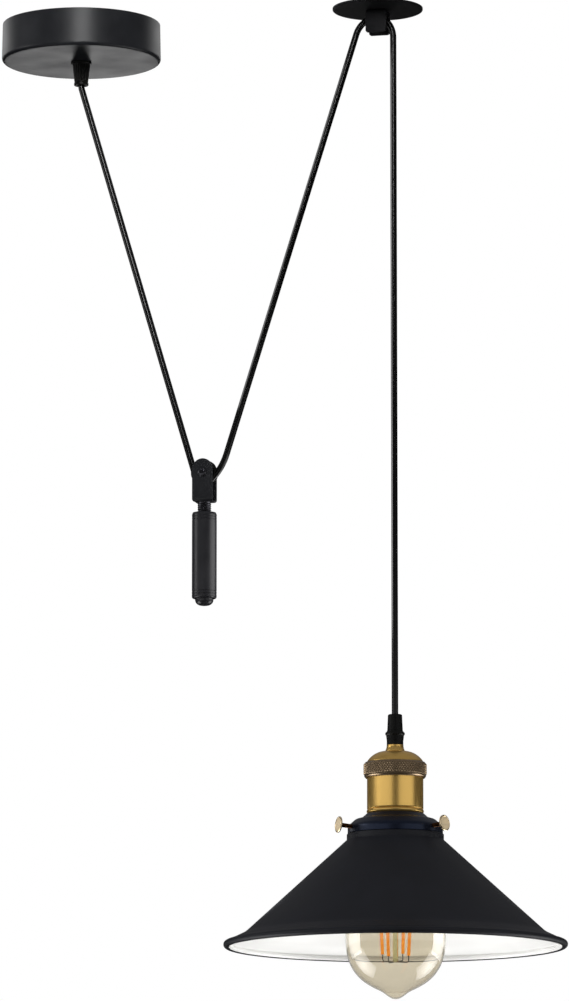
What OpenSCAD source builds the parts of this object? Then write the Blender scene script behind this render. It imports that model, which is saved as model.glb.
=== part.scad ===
// Rise and fall pendant: a ceiling rose, a ceiling pulley, a counterweight hanging in the
// bight of the cord, and a lampholder with a cone shade and a long clear bulb.
// Origin: on the ceiling, at the axis of the rose. +X runs to the ceiling pulley, +Z is up.

/* [Hanging layout] */
// Rose axis to ceiling pulley axle
pulley_x = 201; // [150:0.5:260]
// Rose axis to counterweight axle
weight_x = 84.6; // [60:0.2:110]
// Ceiling to counterweight axle
weight_drop = 303.5; // [220:0.5:380]
// Ceiling to the top of the lampholder cap
lamp_drop = 489; // [440:1:640]

/* [Cord] */
// Outer diameter of the flexible cord
cord_d = 4.2; // [3.6:0.1:4.6]
// Centre-line radius of the free bends beside the ceiling wheel
ceiling_bend_r = 16; // [14:0.5:22]
// Sideways reach of the lamp strand from the ceiling axle
lamp_side_reach = 10.35; // [8:0.05:12]
// Reach of the slanting strand from the ceiling axle, square to the strand
weight_side_reach = 11.84; // [8:0.02:13]
// Centre-line radius of the free bend beside the counterweight wheel
weight_bend_r = 40; // [25:1:60]
// Reach of the slanting strand from the counterweight axle, square to the strand
weight_reach = 10.4; // [8:0.1:13]
// Centre-line radius of the bend in the mouth of the rose's cord grip
mouth_bend_r = 12; // [9:0.5:16]

/* [Ceiling rose] */
// Diameter of the rose at its lower edge
rose_d = 105; // [90:1:120]
// Height of the rose
rose_h = 25; // [20:0.5:32]
// Sheet thickness of the rose
rose_wall = 1; // [0.8:0.1:1.4]
// Radius of the rose's lower edge
rose_edge_r = 2.2; // [1.6:0.1:4]
// How much narrower the rose is at the ceiling, in diameter
rose_draft = 1; // [0:0.1:2]
// Width of the ceiling bracket
bracket_w = 20; // [16:0.5:26]
// Sheet thickness of the ceiling bracket
bracket_t = 1.5; // [1:0.1:2]
// Distance between the slots of the ceiling bracket
slot_spacing = 66; // [58:1:70]
// End to end length of one slot
slot_length = 14; // [8:0.5:16]
// Width of one slot
slot_w = 4.4; // [3.5:0.1:5]
// Depth of the bracket's bent ends below the ceiling
bracket_drop = 14; // [11:0.5:18]
// Height of the grub screws below the ceiling
grub_z = 8; // [6:0.5:10]
// Diameter of the grub screws
grub_d = 3; // [2.5:0.1:4]

/* [Cord grips] */
// Thread diameter of the rose grip's tail
tail_d = 9.9; // [9:0.1:10.5]
// Diameter of the rose grip's flange
rose_grip_flange_d = 13.4; // [12:0.1:16]
// Thickness of the rose grip's flange
rose_grip_flange_h = 1.4; // [1:0.1:2]
// Length of the rose grip's tapered body
rose_grip_h = 12.6; // [9:0.2:18]
// Height of the rim at the rose grip's mouth
rose_grip_rim_h = 2; // [1:0.1:3]
// Diameter at the top of the rose grip's body
rose_grip_top_d = 11.6; // [10.6:0.1:13]
// Diameter at the mouth of the rose grip's body
rose_grip_mouth_d = 9; // [8.6:0.1:10.5]
// Length of the lamp grip's screwed cap
lamp_cap_h = 10.6; // [8:0.1:14]
// Diameter at the top of the lamp grip's cap
lamp_cap_top_d = 9.1; // [8.2:0.1:9.6]
// Diameter at the foot of the lamp grip's cap
lamp_cap_foot_d = 10; // [9.4:0.1:10.8]
// Diameter of the lamp grip's ring
lamp_ring_d = 12.6; // [11.6:0.1:14]
// Height of the lamp grip's ring
lamp_ring_h = 3.1; // [2:0.1:5]
// Length of the lamp grip's body below its ring
lamp_body_h = 6; // [5:0.1:9]
// Thread diameter of the lamp grip's tail
lamp_tail_d = 8.4; // [8:0.1:9.4]

/* [Pulleys] */
// Diameter of the plate under the ceiling
plate_d = 59; // [45:1:80]
// Thickness of the plate
plate_t = 1.6; // [1:0.1:3]
// Diameter of the stud that holds the ceiling pulley
stud_d = 4; // [3.5:0.1:4.4]
// Length of the stud above the ceiling line
stud_l = 25; // [16:1:35]
// Diameter of the stud's plain neck below its thread
stud_neck_d = 3.4; // [3:0.1:3.6]
// Width of the fork strip
fork_w = 13.8; // [12.6:0.1:16]
// Thickness of the fork strip
fork_t = 1.6; // [1.2:0.1:2]
// Gap between the cheeks of a fork
fork_gap = 8.6; // [7.6:0.1:10]
// Outer radius of the fork's bends
fork_bend_r = 2.2; // [2.1:0.1:3]
// Length of the ceiling fork from plate to end
ceiling_fork_l = 15.4; // [14.6:0.1:20]
// Pitch radius of the ceiling wheel, to the middle of the cord
ceiling_pitch_r = 5; // [4.6:0.1:5.6]
// Length of the counterweight's fork
weight_fork_l = 28.2; // [24:0.2:34]
// Axle to the rounded end of the counterweight's fork
weight_axle_inset = 9.2; // [8.4:0.1:10]
// Pitch radius of the counterweight's wheel
weight_pitch_r = 6.2; // [5.4:0.1:6.6]
// How far the ceiling wheel's flange stands past the pitch radius
ceiling_flange = 0.9; // [0.6:0.1:1.2]
// How far the counterweight wheel's flange stands past the pitch radius
weight_flange = 2; // [1:0.1:2.4]
// Diameter of the axle screws
axle_d = 3; // [2.5:0.1:3.4]
// Diameter of the axle screws' heads
axle_head_d = 5.6; // [5:0.1:7]
// Height of the axle screws' heads
axle_head_h = 1.6; // [1:0.1:2.2]
// Width across the flats of the axle nuts
axle_nut_af = 5.5; // [5:0.1:7]
// Height of the axle nuts
axle_nut_h = 2.2; // [1.6:0.1:3]

/* [Counterweight] */
// Diameter of the threaded neck
neck_d = 8.9; // [7:0.1:9.6]
// Visible length of the neck
neck_l = 6.8; // [4:0.2:14]
// Diameter of the weight
weight_d = 16.1; // [14:0.1:24]
// Length of the weight
weight_l = 56.4; // [40:0.2:90]
// Diameter of the end button
button_d = 12; // [8:0.2:13]
// Height of the end button
button_h = 4.6; // [3:0.1:6]

/* [Lampholder] */
// Diameter of the flared brass collar at its foot
collar_d = 12.4; // [12:0.1:14]
// Diameter of the collar's straight top
collar_top_d = 10.3; // [10.1:0.1:11.4]
// Height of the brass collar
collar_h = 4.2; // [3:0.1:6]
// Radius of the cap's shoulder
cap_shoulder_r = 13.85; // [13:0.05:14.5]
// Diameter of the brass shell
shell_d = 36.1; // [35:0.1:38]
// Sheet thickness of the brass parts
brass_wall = 0.8; // [0.6:0.1:1]
// Diameter over the knurl of the ring
ring_d = 40.7; // [40.2:0.1:43]
// Height of the knurled ring
ring_h = 10; // [9:0.1:12]
// Knurl diamonds round the ring
knurl_count = 60; // [40:2:72]
// Rows of knurl diamonds
knurl_rows = 4; // [3:1:6]
// Depth of the knurl
knurl_depth = 0.45; // [0.3:0.05:0.6]
// Visible length of the shell below the ring
shell_l = 18.4; // [16:0.2:24]
// Height of the bead at the foot of the shell
bead_h = 2.9; // [2:0.1:3.4]
// Length of the shell's threaded neck, which goes through the fitter
shell_neck_l = 8.4; // [7.6:0.1:10]

/* [Shade] */
// Diameter over the rolled rim
shade_d = 220; // [180:1:260]
// Height of the shade from collar to the middle of the rim
shade_h = 70.8; // [56:0.2:90]
// Sheet thickness of the shade and its fitter
shade_wall = 1; // [0.8:0.1:1.2]
// Diameter of the rolled rim's section
rim_roll_d = 4.4; // [3:0.1:5]
// Width of the flared brim inside the roll
brim_w = 11.2; // [6:0.2:16]
// Drop of the flared brim
brim_drop = 5; // [2:0.1:7]
// Diameter of the shade's collar
collar_shade_d = 62.2; // [61:0.1:66]
// Height of the shade's collar
collar_shade_h = 3.9; // [2:0.1:5]
// Diameter of the shade's neck, inside the fitter
neck_shade_d = 55.4; // [54:0.1:55.6]
// Diameter of the fitter's skirt
fitter_d = 61; // [60:0.1:64]
// Radius of the fitter's dome
fitter_dome_r = 8.2; // [7.6:0.1:8.6]
// Radius of the fitter's hollow throat
fitter_throat_r = 4.2; // [3.6:0.1:4.6]
// Height of the fitter's straight skirt
fitter_skirt_h = 1.8; // [1.4:0.1:4]

/* [Thumb screws] */
// Diameter of a thumb screw's head
thumb_d = 10.6; // [8:0.1:12]
// Thickness of the head
thumb_t = 1.2; // [0.8:0.1:2]
// Diameter of the shank
thumb_shank_d = 2.9; // [2.4:0.1:3.4]
// Middle of the head to the lampholder axis
thumb_reach = 39.3; // [36:0.1:44]
// Rise of the screws towards their heads, in degrees
thumb_tilt = 5.5; // [0:0.5:8]

/* [Bulb] */
// Greatest diameter of the glass
bulb_d = 64.4; // [58:0.2:68]
// Length of the bulb from its contact to its tip
bulb_l = 140; // [132:0.2:148]
// Thickness of the glass
glass_t = 0.8; // [0.6:0.1:1]
// Diameter of one filament
filament_d = 2.1; // [1.6:0.1:2.4]
// Length of one filament
filament_l = 38; // [30:1:42]

/* [Clearances] */
// Radial play of the wheels on their axles
axle_fit = 0.06; // [0.03:0.01:0.1]
// Play between each wheel's hub and the cheeks
side_play = 0.15; // [0.1:0.05:0.4]
// Play between the cord and a groove or bore
cord_play = 0.15; // [0.1:0.05:0.2]
// Radial play of fixed parts in their holes
seat_fit = 0.1; // [0.05:0.01:0.15]
// Radial play of the thumb screws in the fitter
thumb_fit = 0.08; // [0.04:0.01:0.1]
// Gap between the bulb's thread and the lampholder
bulb_fit = 0.3; // [0.2:0.05:0.4]

/* [Hidden] */
$fn = 64;
TINY = 0.01;

// Colours
BLACK = "#1d1e21";
BLACK_GLOSS = "#14161c";
NYLON = "#191917";
BRASS = "#b98a32";
BRONZE = "#6b5f50";
PALE_BRASS = "#e0c48a";
STEEL = "#a8a8a8";
PORCELAIN = "#ece8de";
CORD = "#0c0c0d";

// Cord
cord_r = cord_d / 2;
groove_r = cord_r + cord_play;

// Ceiling wheel. Places in the cord's plane are written [x, z].
fork_clear = 0.3;
ceiling_axle = [pulley_x, -(plate_t + fork_t + fork_clear + ceiling_pitch_r + cord_r)];
lamp_bend_a = acos((ceiling_bend_r - lamp_side_reach) / (ceiling_bend_r - ceiling_pitch_r));
slant_bend_a = acos((ceiling_bend_r - weight_side_reach) / (ceiling_bend_r - ceiling_pitch_r));
lamp_x = pulley_x + lamp_side_reach;

// Slanting strand between the two wheels, and its angle from the vertical
weight_axle = [weight_x, -weight_drop];
span_b = ceiling_axle - weight_axle;
lean_b = atan2(span_b[0], span_b[1]) - asin((weight_reach + weight_side_reach) / norm(span_b));
weight_bend_a = acos((weight_bend_r - weight_reach) / (weight_bend_r - weight_pitch_r));

// Strand from the rose, and its angle from the vertical
rose_mouth_z = -rose_h - rose_grip_flange_h - rose_grip_h - rose_grip_rim_h;
flare_h = 3.4;
mouth_bend = [mouth_bend_r, rose_mouth_z + 0.7];
span_a = weight_axle - mouth_bend;
lean_a = atan2(span_a[0], -span_a[1]) + asin((mouth_bend_r - weight_pitch_r) / norm(span_a));

// Angles on the wheels, counted from +X towards +Z
slant_a = 180 - lean_b;
over_a0 = lamp_bend_a;
over_a1 = slant_a - slant_bend_a;
under_a0 = -180 + lean_a;
under_a1 = -lean_b - weight_bend_a;

// Centres of the free bends
lamp_bend = at(ceiling_axle, ceiling_pitch_r - ceiling_bend_r, over_a0);
slant_bend = at(ceiling_axle, ceiling_pitch_r - ceiling_bend_r, over_a1);
weight_bend = at(weight_axle, weight_pitch_r - weight_bend_r, under_a1);

// Ends of the strands
a_top = at(mouth_bend, mouth_bend_r, 180 + lean_a);
a_foot = at(weight_axle, weight_pitch_r, under_a0);
b_foot = at(weight_bend, weight_bend_r, -lean_b);
b_top = at(slant_bend, ceiling_bend_r, slant_a);
c_top_z = lamp_bend[1];

// Stud: countersunk head, plain neck up to just above the ceiling line, thread, point
sink_r = stud_neck_d / 2 + 1.2;
sink_h = 1.2;
stud_thread_z = 0.5;
stud_point_h = 4;

// Counterweight: underside of its fork
fork_foot_z = weight_axle[1] + weight_axle_inset - weight_fork_l;

// Ceiling rose
rose_r = rose_d / 2;
rose_top_r = rose_r - rose_draft / 2;
rose_inner_r = rose_top_r - rose_wall;
bracket_end = sqrt(pow(rose_inner_r, 2) - pow(bracket_w / 2, 2)) - 0.3;
nut_af = 14;
nut_h = 3;
sheath_end_z = -12;
block_x = 7;
block_w = 15;
block_l = 19;
block_h = 10.5;
pole_pitch = 6;
core_wire_d = 1.6;

// Lampholder levels
cap_z = -lamp_drop;
grip_z = cap_z + collar_h;
lamp_ring_z = grip_z + lamp_body_h;
lamp_cap_z = lamp_ring_z + lamp_ring_h;
lamp_grip_top_z = lamp_cap_z + lamp_cap_h;
shell_r = shell_d / 2;
cap_flat_r = 6.2;
shoulder_a = acos((shell_r - cap_flat_r) / cap_shoulder_r);
ring_top_z = cap_z - cap_shoulder_r * (1 - sin(shoulder_a)) - 0.5;
ring_foot_z = ring_top_z - ring_h;
ring_lip_h = 2.6;
thread_r = shell_r + 0.9;
cap_flange_h = 1.6;
joint_z = ring_top_z - ring_lip_h - cap_flange_h - 0.06;
bead_top_z = ring_foot_z - shell_l;
bead_foot_z = bead_top_z - bead_h;
neck_r = 16.7;
shell_end_z = bead_foot_z - shell_neck_l;
lock_nut_af = 12;
lock_nut_h = 2.4;
core_r = neck_r - brass_wall - seat_fit;

// Fitter and shade levels
throat_lip_h = 0.4;
fitter_r = fitter_d / 2;
dome_r0 = fitter_r - fitter_dome_r;
throat_z = bead_foot_z - 0.03;
dome_z = throat_z - throat_lip_h - fitter_throat_r - fitter_dome_r;
throat_r0 = shell_r + fitter_throat_r;
skirt_z = dome_z - fitter_skirt_h;
seat_z = dome_z + fitter_dome_r - shade_wall;
thumb_z = dome_z + 1.8;
collar_top_z = skirt_z - 0.2;
cone_z = collar_top_z - collar_shade_h;
rim_z = cone_z - shade_h + collar_shade_h;
rim_r = shade_d / 2 - rim_roll_d / 2;
brim_r = rim_r - brim_w;
brim_z = rim_z + rim_roll_d / 2 + brim_drop;
collar_r = collar_shade_d / 2;
shade_neck_r = neck_shade_d / 2;
lip_top_z = dome_z + 3.6;

// Directions of the thumb screws, counted from +X towards +Y: front right, front left, back
THUMB_ANGLES = [-24, -144, 96];

// Bulb levels
contact_z = joint_z - 7.5;
bulb_tip_z = contact_z - bulb_l;
bulb_r = bulb_d / 2;
base_h = 25.6;
base_end_z = contact_z - base_h;
base_r = 12.65;
thread_wave = 0.5;
thread_pitch = 3.6;
glass_neck_r = 13.5;

// Bulb mount: a glass rod, four leaning filaments and the wires that carry them
stem_end_z = bulb_tip_z + 23.5;
stem_end_r = 1.2;
stem_root_r = 1.4;
filament_foot_z = bulb_tip_z + 28.3;
filament_foot_r = 9.5;
filament_top_r = 11.5;
FILAMENT_TURN = 42;

// Sleeve in the porcelain, which is the screw contact
sleeve_t = 0.4;
sleeve_top_z = contact_z - 6;
sleeve_foot_z = shell_end_z + 2.4;

// ---- Helpers ----

// A point at radius r and angle a round the centre c, in the cord's plane
function at(c, r, a) = [c[0] + r * cos(a), c[1] + r * sin(a)];

// A point on a cubic curve with the four control points p
function cubic(p, t) =
    pow(1 - t, 3) * p[0] + 3 * pow(1 - t, 2) * t * p[1] + 3 * (1 - t) * t * t * p[2] + pow(t, 3) * p[3];

// A straight round bar between two points of the cord's plane
module bar(p, q, d) {
    v = q - p;
    translate([p[0], 0, p[1]]) rotate([0, atan2(v[0], v[1]), 0]) cylinder(h = norm(v), d = d);
}

// A round bar bent to radius r round the centre c, from angle a0 to a1
module bend(c, r, a0, a1, d) {
    translate([c[0], 0, c[1]]) rotate([90, 0, 0]) rotate([0, 0, a0])
        rotate_extrude(angle = a1 - a0) translate([r, 0]) circle(d = d);
}

// A straight round bar between two points in space
module wire(p, q, d) {
    v = q - p;
    translate(p) rotate([0, acos(v[2] / norm(v)), atan2(v[1], v[0])]) cylinder(h = norm(v), d = d);
}

// Wires from point to point; each one runs on a little past its corner
module wire_run(points, d) {
    for (i = [1:len(points) - 1]) {
        v = unit(points[i] - points[i - 1]);
        wire(points[i - 1], points[i] + (i < len(points) - 1 ? 0.3 * d : 0) * v, d);
    }
}

// A cylinder along Y, centred on y
module cross_pin(c, r, y0, y1) {
    translate([c[0], y1, c[1]]) rotate([90, 0, 0]) cylinder(h = y1 - y0, r = r);
}

// A hexagon nut with a round hole, standing on z = 0
module hex_nut(af, h, hole_d) {
    difference() {
        intersection() {
            cylinder(h = h, d = af / cos(30), $fn = 6);
            translate([0, 0, -TINY]) cylinder(h = h + 2 * TINY, d1 = af * 1.06 + h, d2 = af * 1.06);
        }
        translate([0, 0, -1]) cylinder(h = h + 2, d = hole_d);
    }
}

// The lampholder's axis
module on_lamp() { translate([lamp_x, 0, 0]) children(); }

// ---- Ceiling rose ----

module canopy_section() {
    z0 = -rose_h;
    e = rose_edge_r;
    i = e - rose_wall;
    difference() {
        union() {
            polygon([[0, z0], [rose_r - e, z0], [rose_r - e, z0 + e], [rose_r, z0 + e],
                     [rose_top_r, 0], [0, 0]]);
            translate([rose_r - e, z0 + e]) circle(r = e);
        }
        polygon([[-1, z0 + rose_wall], [rose_r - e, z0 + rose_wall], [rose_r - e, z0 + e],
                 [rose_r - rose_wall, z0 + e], [rose_inner_r, 0], [rose_inner_r, 1], [-1, 1]]);
        translate([rose_r - e, z0 + e]) circle(r = i);
        translate([-2 * rose_r, -rose_h - 1]) square([2 * rose_r, rose_h + 2]);
    }
}

module canopy_cup() {
    color(BLACK) difference() {
        rotate_extrude($fn = 96) canopy_section();
        translate([0, 0, -rose_h - 1]) cylinder(h = rose_wall + 2, r = tail_d / 2 + seat_fit);
        for (s = [-1, 1]) translate([0, 0, -grub_z]) rotate([0, s * 90, 0])
            cylinder(h = rose_d, r = grub_d / 2 + seat_fit);
    }
}

module ceiling_bracket() {
    t = bracket_t;
    color(STEEL) difference() {
        union() {
            translate([-bracket_end, -bracket_w / 2, -t]) cube([2 * bracket_end, bracket_w, t]);
            for (s = [-1, 1]) translate([s * (bracket_end - t / 2) - t / 2, -bracket_w / 2, -bracket_drop])
                cube([t, bracket_w, bracket_drop]);
        }
        for (s = [-1, 1]) translate([s * slot_spacing / 2, 0, -t - 1]) {
            straight = slot_length - slot_w;
            translate([-straight / 2, -slot_w / 2, 0]) cube([straight, slot_w, t + 2]);
            for (e = [-1, 1]) translate([e * straight / 2, 0, 0]) cylinder(h = t + 2, d = slot_w);
        }
        translate([0, 0, -t - 1]) cylinder(h = t + 2, r = 5);
        for (s = [-1, 1]) translate([0, 0, -grub_z]) rotate([0, s * 90, 0])
            cylinder(h = rose_d, r = grub_d / 2 + TINY);
        translate([-block_x - block_w / 2, 0, -t - 1]) cylinder(h = t + 2, r = 1.5 + TINY);
    }
}

// Two hex-socket grub screws, flush with the rose's skirt
module canopy_grub_screws() {
    outer = rose_r - rose_draft / 2 * (rose_h - grub_z) / rose_h - 0.1;
    length = outer - bracket_end + bracket_t + 0.6;
    color(BLACK) for (s = [-1, 1])
        translate([s * outer, 0, -grub_z]) rotate([0, -s * 90, 0]) difference() {
            cylinder(h = length, d = grub_d);
            translate([0, 0, -1]) cylinder(h = 2.2, d = grub_d / 2, $fn = 6);
        }
}

// Three-pole terminal block hung under the bracket
module terminal_block() {
    z = -bracket_t - block_h;
    color(PORCELAIN) difference() {
        union() {
            translate([block_x, -block_l / 2, z + 2]) cube([block_w, block_l, block_h - 2]);
            for (i = [-1:1]) translate([block_x + block_w / 2, i * pole_pitch, z])
                for (s = [-1, 1]) translate([s * 4, 0, 0]) cylinder(h = 3, d = 4.8);
        }
        for (i = [-1:1]) translate([block_x - 1, i * pole_pitch, z + 6])
            rotate([0, 90, 0]) cylinder(h = block_w + 2, d = 3.4);
        for (i = [-1:1]) translate([block_x + block_w / 2, i * pole_pitch, z - 1])
            for (s = [-1, 1]) translate([s * 4, 0, 0]) cylinder(h = 6.2, d = 3.2);
    }
}

module terminal_screws() {
    z = -bracket_t - block_h;
    color(BRASS) for (i = [-1:1]) for (s = [-1, 1])
        translate([block_x + block_w / 2 + s * 4, i * pole_pitch, z + 1]) difference() {
            cylinder(h = 4, d = 2.8);
            translate([-2, -0.25, -1]) cube([4, 0.5, 1.7]);
        }
}

module earth_screw() {
    x = -block_x - block_w / 2;
    color(BRASS) translate([x, 0, -bracket_t]) {
        difference() {
            translate([0, 0, -1.8]) cylinder(h = 1.8, d = 6);
            translate([-4, -0.4, -2.8]) cube([8, 0.8, 1.7]);
        }
        cylinder(h = bracket_t - 0.2, d = 3);
    }
}

// Stripped cores of the cord, from the end of its sheath into the terminal block
module canopy_leads() {
    block_mid = -bracket_t - block_h + 6;
    color("#6b3f22") for (i = [-1, 1]) {
        wire_run([[0, i * 0.95, sheath_end_z], [0, i * 0.95, sheath_end_z + 1],
                  [0.6, i * 1.6, sheath_end_z + 3.4], [block_x - 2.5, i * pole_pitch, block_mid],
                  [block_x + 2.4, i * pole_pitch, block_mid]], core_wire_d);
    }
}

module canopy_cord_grip() {
    z0 = -rose_h - rose_grip_flange_h;
    z1 = z0 - rose_grip_h;
    tail_l = rose_wall + nut_h + 1.5;
    color(NYLON) difference() {
        union() {
            translate([0, 0, z0]) cylinder(h = rose_grip_flange_h, d = rose_grip_flange_d);
            translate([0, 0, -rose_h]) cylinder(h = tail_l, d = tail_d);
            translate([0, 0, z1]) cylinder(h = rose_grip_h, d1 = rose_grip_mouth_d, d2 = rose_grip_top_d);
            translate([0, 0, rose_mouth_z + 0.5])
                cylinder(h = rose_grip_rim_h - 0.5, d = rose_grip_mouth_d + 0.6);
            translate([0, 0, rose_mouth_z])
                cylinder(h = 0.5, d1 = rose_grip_mouth_d - 0.2, d2 = rose_grip_mouth_d + 0.6);
        }
        translate([0, 0, rose_mouth_z - 1]) cylinder(h = 40, r = groove_r);
        translate([0, 0, rose_mouth_z - TINY]) cylinder(h = flare_h + TINY, r1 = groove_r + 1, r2 = groove_r);
    }
}

module canopy_grip_nut() {
    color(NYLON) translate([0, 0, -rose_h + rose_wall]) hex_nut(nut_af, nut_h, tail_d + TINY);
}

// ---- Forks and wheels ----

// A U of strip seen along X: its web lies on z = 0 and its cheeks rise to z = l
module fork_section(l) {
    half = fork_gap / 2 + fork_t;
    ri = fork_bend_r - fork_t;
    difference() {
        union() {
            translate([-half, fork_bend_r]) square([2 * half, l - fork_bend_r]);
            translate([-half + fork_bend_r, 0]) square([2 * (half - fork_bend_r), fork_bend_r + 1]);
            for (s = [-1, 1]) translate([s * (half - fork_bend_r), fork_bend_r]) circle(r = fork_bend_r);
        }
        translate([-fork_gap / 2, fork_bend_r]) square([fork_gap, l]);
        translate([-fork_gap / 2 + ri, fork_t]) square([fork_gap - 2 * ri, l]);
        for (s = [-1, 1]) translate([s * (fork_gap / 2 - ri), fork_bend_r]) circle(r = ri);
    }
}

// The fork's face seen along Y: a strip with rounded corners of radius end_r at its free end
module fork_face(l, end_r) {
    half = fork_w / 2;
    foot_r = 1;
    translate([-half, foot_r]) square([fork_w, l - end_r - foot_r]);
    translate([-half + foot_r, 0]) square([fork_w - 2 * foot_r, foot_r + 1]);
    for (s = [-1, 1]) translate([s * (half - foot_r), foot_r]) circle(r = foot_r);
    if (end_r < half) translate([-half + end_r, l - end_r - 1]) square([2 * (half - end_r), end_r + 1]);
    for (s = [-1, 1]) translate([s * (half - end_r), l - end_r]) circle(r = end_r);
}

// A fork with its web on z = 0, an axle hole at height axle and a hole through its web
module fork(l, end_r, axle, web_hole_d) {
    width = fork_gap + 2 * fork_t;
    color(BLACK) difference() {
        intersection() {
            rotate([90, 0, 90]) translate([0, 0, -fork_w / 2])
                linear_extrude(height = fork_w) fork_section(l);
            rotate([90, 0, 0]) translate([0, 0, -width])
                linear_extrude(height = 2 * width) fork_face(l, end_r);
        }
        cross_pin([0, axle], axle_d / 2 + TINY, -width, width);
        translate([0, 0, -1]) cylinder(h = fork_t + 2, d = web_hole_d);
    }
}

// A grooved wheel on the Y axis, with a hub that nearly fills the fork
module wheel(pitch_r, flange) {
    rim_half = fork_gap / 2 - 0.5;
    hub_half = fork_gap / 2 - side_play;
    rim = pitch_r + flange;
    bore = axle_d / 2 + axle_fit;
    rotate([90, 0, 0]) rotate_extrude($fn = 96) difference() {
        union() {
            translate([bore, -rim_half + 0.3]) square([rim - bore, 2 * rim_half - 0.6]);
            translate([bore, -rim_half]) square([rim - bore - 0.3, 2 * rim_half]);
            translate([bore, -hub_half]) square([1.1, 2 * hub_half]);
        }
        translate([pitch_r, 0]) circle(r = groove_r);
        polygon([[pitch_r, -groove_r], [rim + 1, -groove_r - 0.6 - 0.4 * flange],
                 [rim + 1, groove_r + 0.6 + 0.4 * flange], [pitch_r, groove_r]]);
    }
}

// The axle: a domed head with a cross recess in front, a plain shank and a threaded end
module axle_screw(c) {
    front = -fork_gap / 2 - fork_t;
    color(STEEL) translate([c[0], front, c[1]]) rotate([-90, 0, 0]) difference() {
        union() {
            cylinder(h = fork_gap + 2 * fork_t + axle_nut_h + 0.4, d = axle_d);
            translate([0, 0, -axle_head_h]) intersection() {
                cylinder(h = axle_head_h, d = axle_head_d);
                translate([0, 0, axle_head_d]) sphere(r = axle_head_d);
            }
        }
        for (a = [0, 90]) rotate([0, 0, a]) translate([-1.3, -0.3, -axle_head_h - 1]) cube([2.6, 0.6, 1.9]);
    }
}

module axle_nut(c) {
    back = fork_gap / 2 + fork_t;
    color(STEEL) translate([c[0], back, c[1]]) rotate([-90, 0, 0])
        hex_nut(axle_nut_af, axle_nut_h, axle_d + TINY);
}

// ---- Ceiling pulley ----

module pulley_plate() {
    e = plate_t / 2;
    color(BLACK) translate([pulley_x, 0, -plate_t]) difference() {
        rotate_extrude($fn = 96) {
            square([plate_d / 2 - e / 2, plate_t]);
            translate([0, e / 2]) square([plate_d / 2, plate_t - e / 2]);
            translate([plate_d / 2 - e / 2, e / 2]) circle(r = e / 2);
        }
        translate([0, 0, -1]) cylinder(h = plate_t + 2, r = stud_d / 2 + seat_fit);
    }
}

module ceiling_fork() {
    hole_r = stud_neck_d / 2 + TINY;
    color(BLACK) translate([pulley_x, 0, -plate_t]) rotate([180, 0, 0]) difference() {
        fork(ceiling_fork_l, 1.6, -ceiling_axle[1] - plate_t, stud_neck_d + 2 * TINY);
        translate([0, 0, fork_t - sink_h]) cylinder(h = sink_h + 1, r1 = hole_r,
            r2 = hole_r + (sink_r - stud_neck_d / 2) * (sink_h + 1) / sink_h);
    }
}

// A wood-screw stud with a flush head riveted into the fork's web; it goes up into the ceiling
module ceiling_stud() {
    foot = plate_t + fork_t;
    thread_l = stud_l - stud_point_h - stud_thread_z;
    color(STEEL) translate([pulley_x, 0, 0]) {
        translate([0, 0, -foot]) cylinder(h = sink_h, r1 = sink_r, d2 = stud_neck_d);
        translate([0, 0, -foot]) cylinder(h = foot + stud_thread_z, d = stud_neck_d);
        translate([0, 0, stud_thread_z]) cylinder(h = thread_l, d = stud_d);
        translate([0, 0, stud_l - stud_point_h]) cylinder(h = stud_point_h, d1 = stud_d, d2 = 0.8);
    }
}

// A plain pin, flush with the front cheek and headed over behind
module ceiling_axle_pin() {
    back = fork_gap / 2 + fork_t;
    color(BLACK) translate([ceiling_axle[0], -back, ceiling_axle[1]]) rotate([-90, 0, 0]) {
        cylinder(h = 2 * back + 0.2, d = axle_d);
        translate([0, 0, 2 * back]) intersection() {
            cylinder(h = 1.1, d = 5);
            translate([0, 0, 1.1 - 3.4]) sphere(r = 3.4);
        }
    }
}

module ceiling_wheel() {
    color(NYLON) translate([pulley_x, 0, ceiling_axle[1]]) wheel(ceiling_pitch_r, ceiling_flange);
}

// ---- Cord ----

module cord_in_canopy() {
    color(CORD) {
        translate([0, 0, mouth_bend[1]]) cylinder(h = sheath_end_z - mouth_bend[1], d = cord_d);
        bend(mouth_bend, mouth_bend_r, 180, 180 + lean_a, cord_d);
    }
}

module cord_from_canopy() { color(CORD) bar(a_top, a_foot, cord_d); }

module cord_round_weight_pulley() {
    color(CORD) {
        bend(weight_axle, weight_pitch_r, under_a0, under_a1, cord_d);
        bend(weight_bend, weight_bend_r, under_a1 + 0.03, -lean_b, cord_d);
    }
}

module cord_to_ceiling_pulley() { color(CORD) bar(b_foot, b_top, cord_d); }

module cord_over_ceiling_pulley() {
    color(CORD) {
        bend(lamp_bend, ceiling_bend_r, 0, over_a0, cord_d);
        bend(ceiling_axle, ceiling_pitch_r, over_a0, over_a1, cord_d);
        bend(slant_bend, ceiling_bend_r, over_a1, slant_a, cord_d);
    }
}

module cord_to_lamp() { color(CORD) bar([lamp_x, lamp_grip_top_z], [lamp_x, c_top_z], cord_d); }

// ---- Counterweight ----

module weight_fork() {
    translate([weight_x, 0, fork_foot_z])
        fork(weight_fork_l, fork_w / 2, weight_fork_l - weight_axle_inset, 6 + 2 * seat_fit);
}

module weight_axle_screw() { axle_screw(weight_axle); }

module weight_axle_nut() { axle_nut(weight_axle); }

module weight_wheel() {
    color(NYLON) translate([weight_x, 0, weight_axle[1]]) wheel(weight_pitch_r, weight_flange);
}

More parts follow.
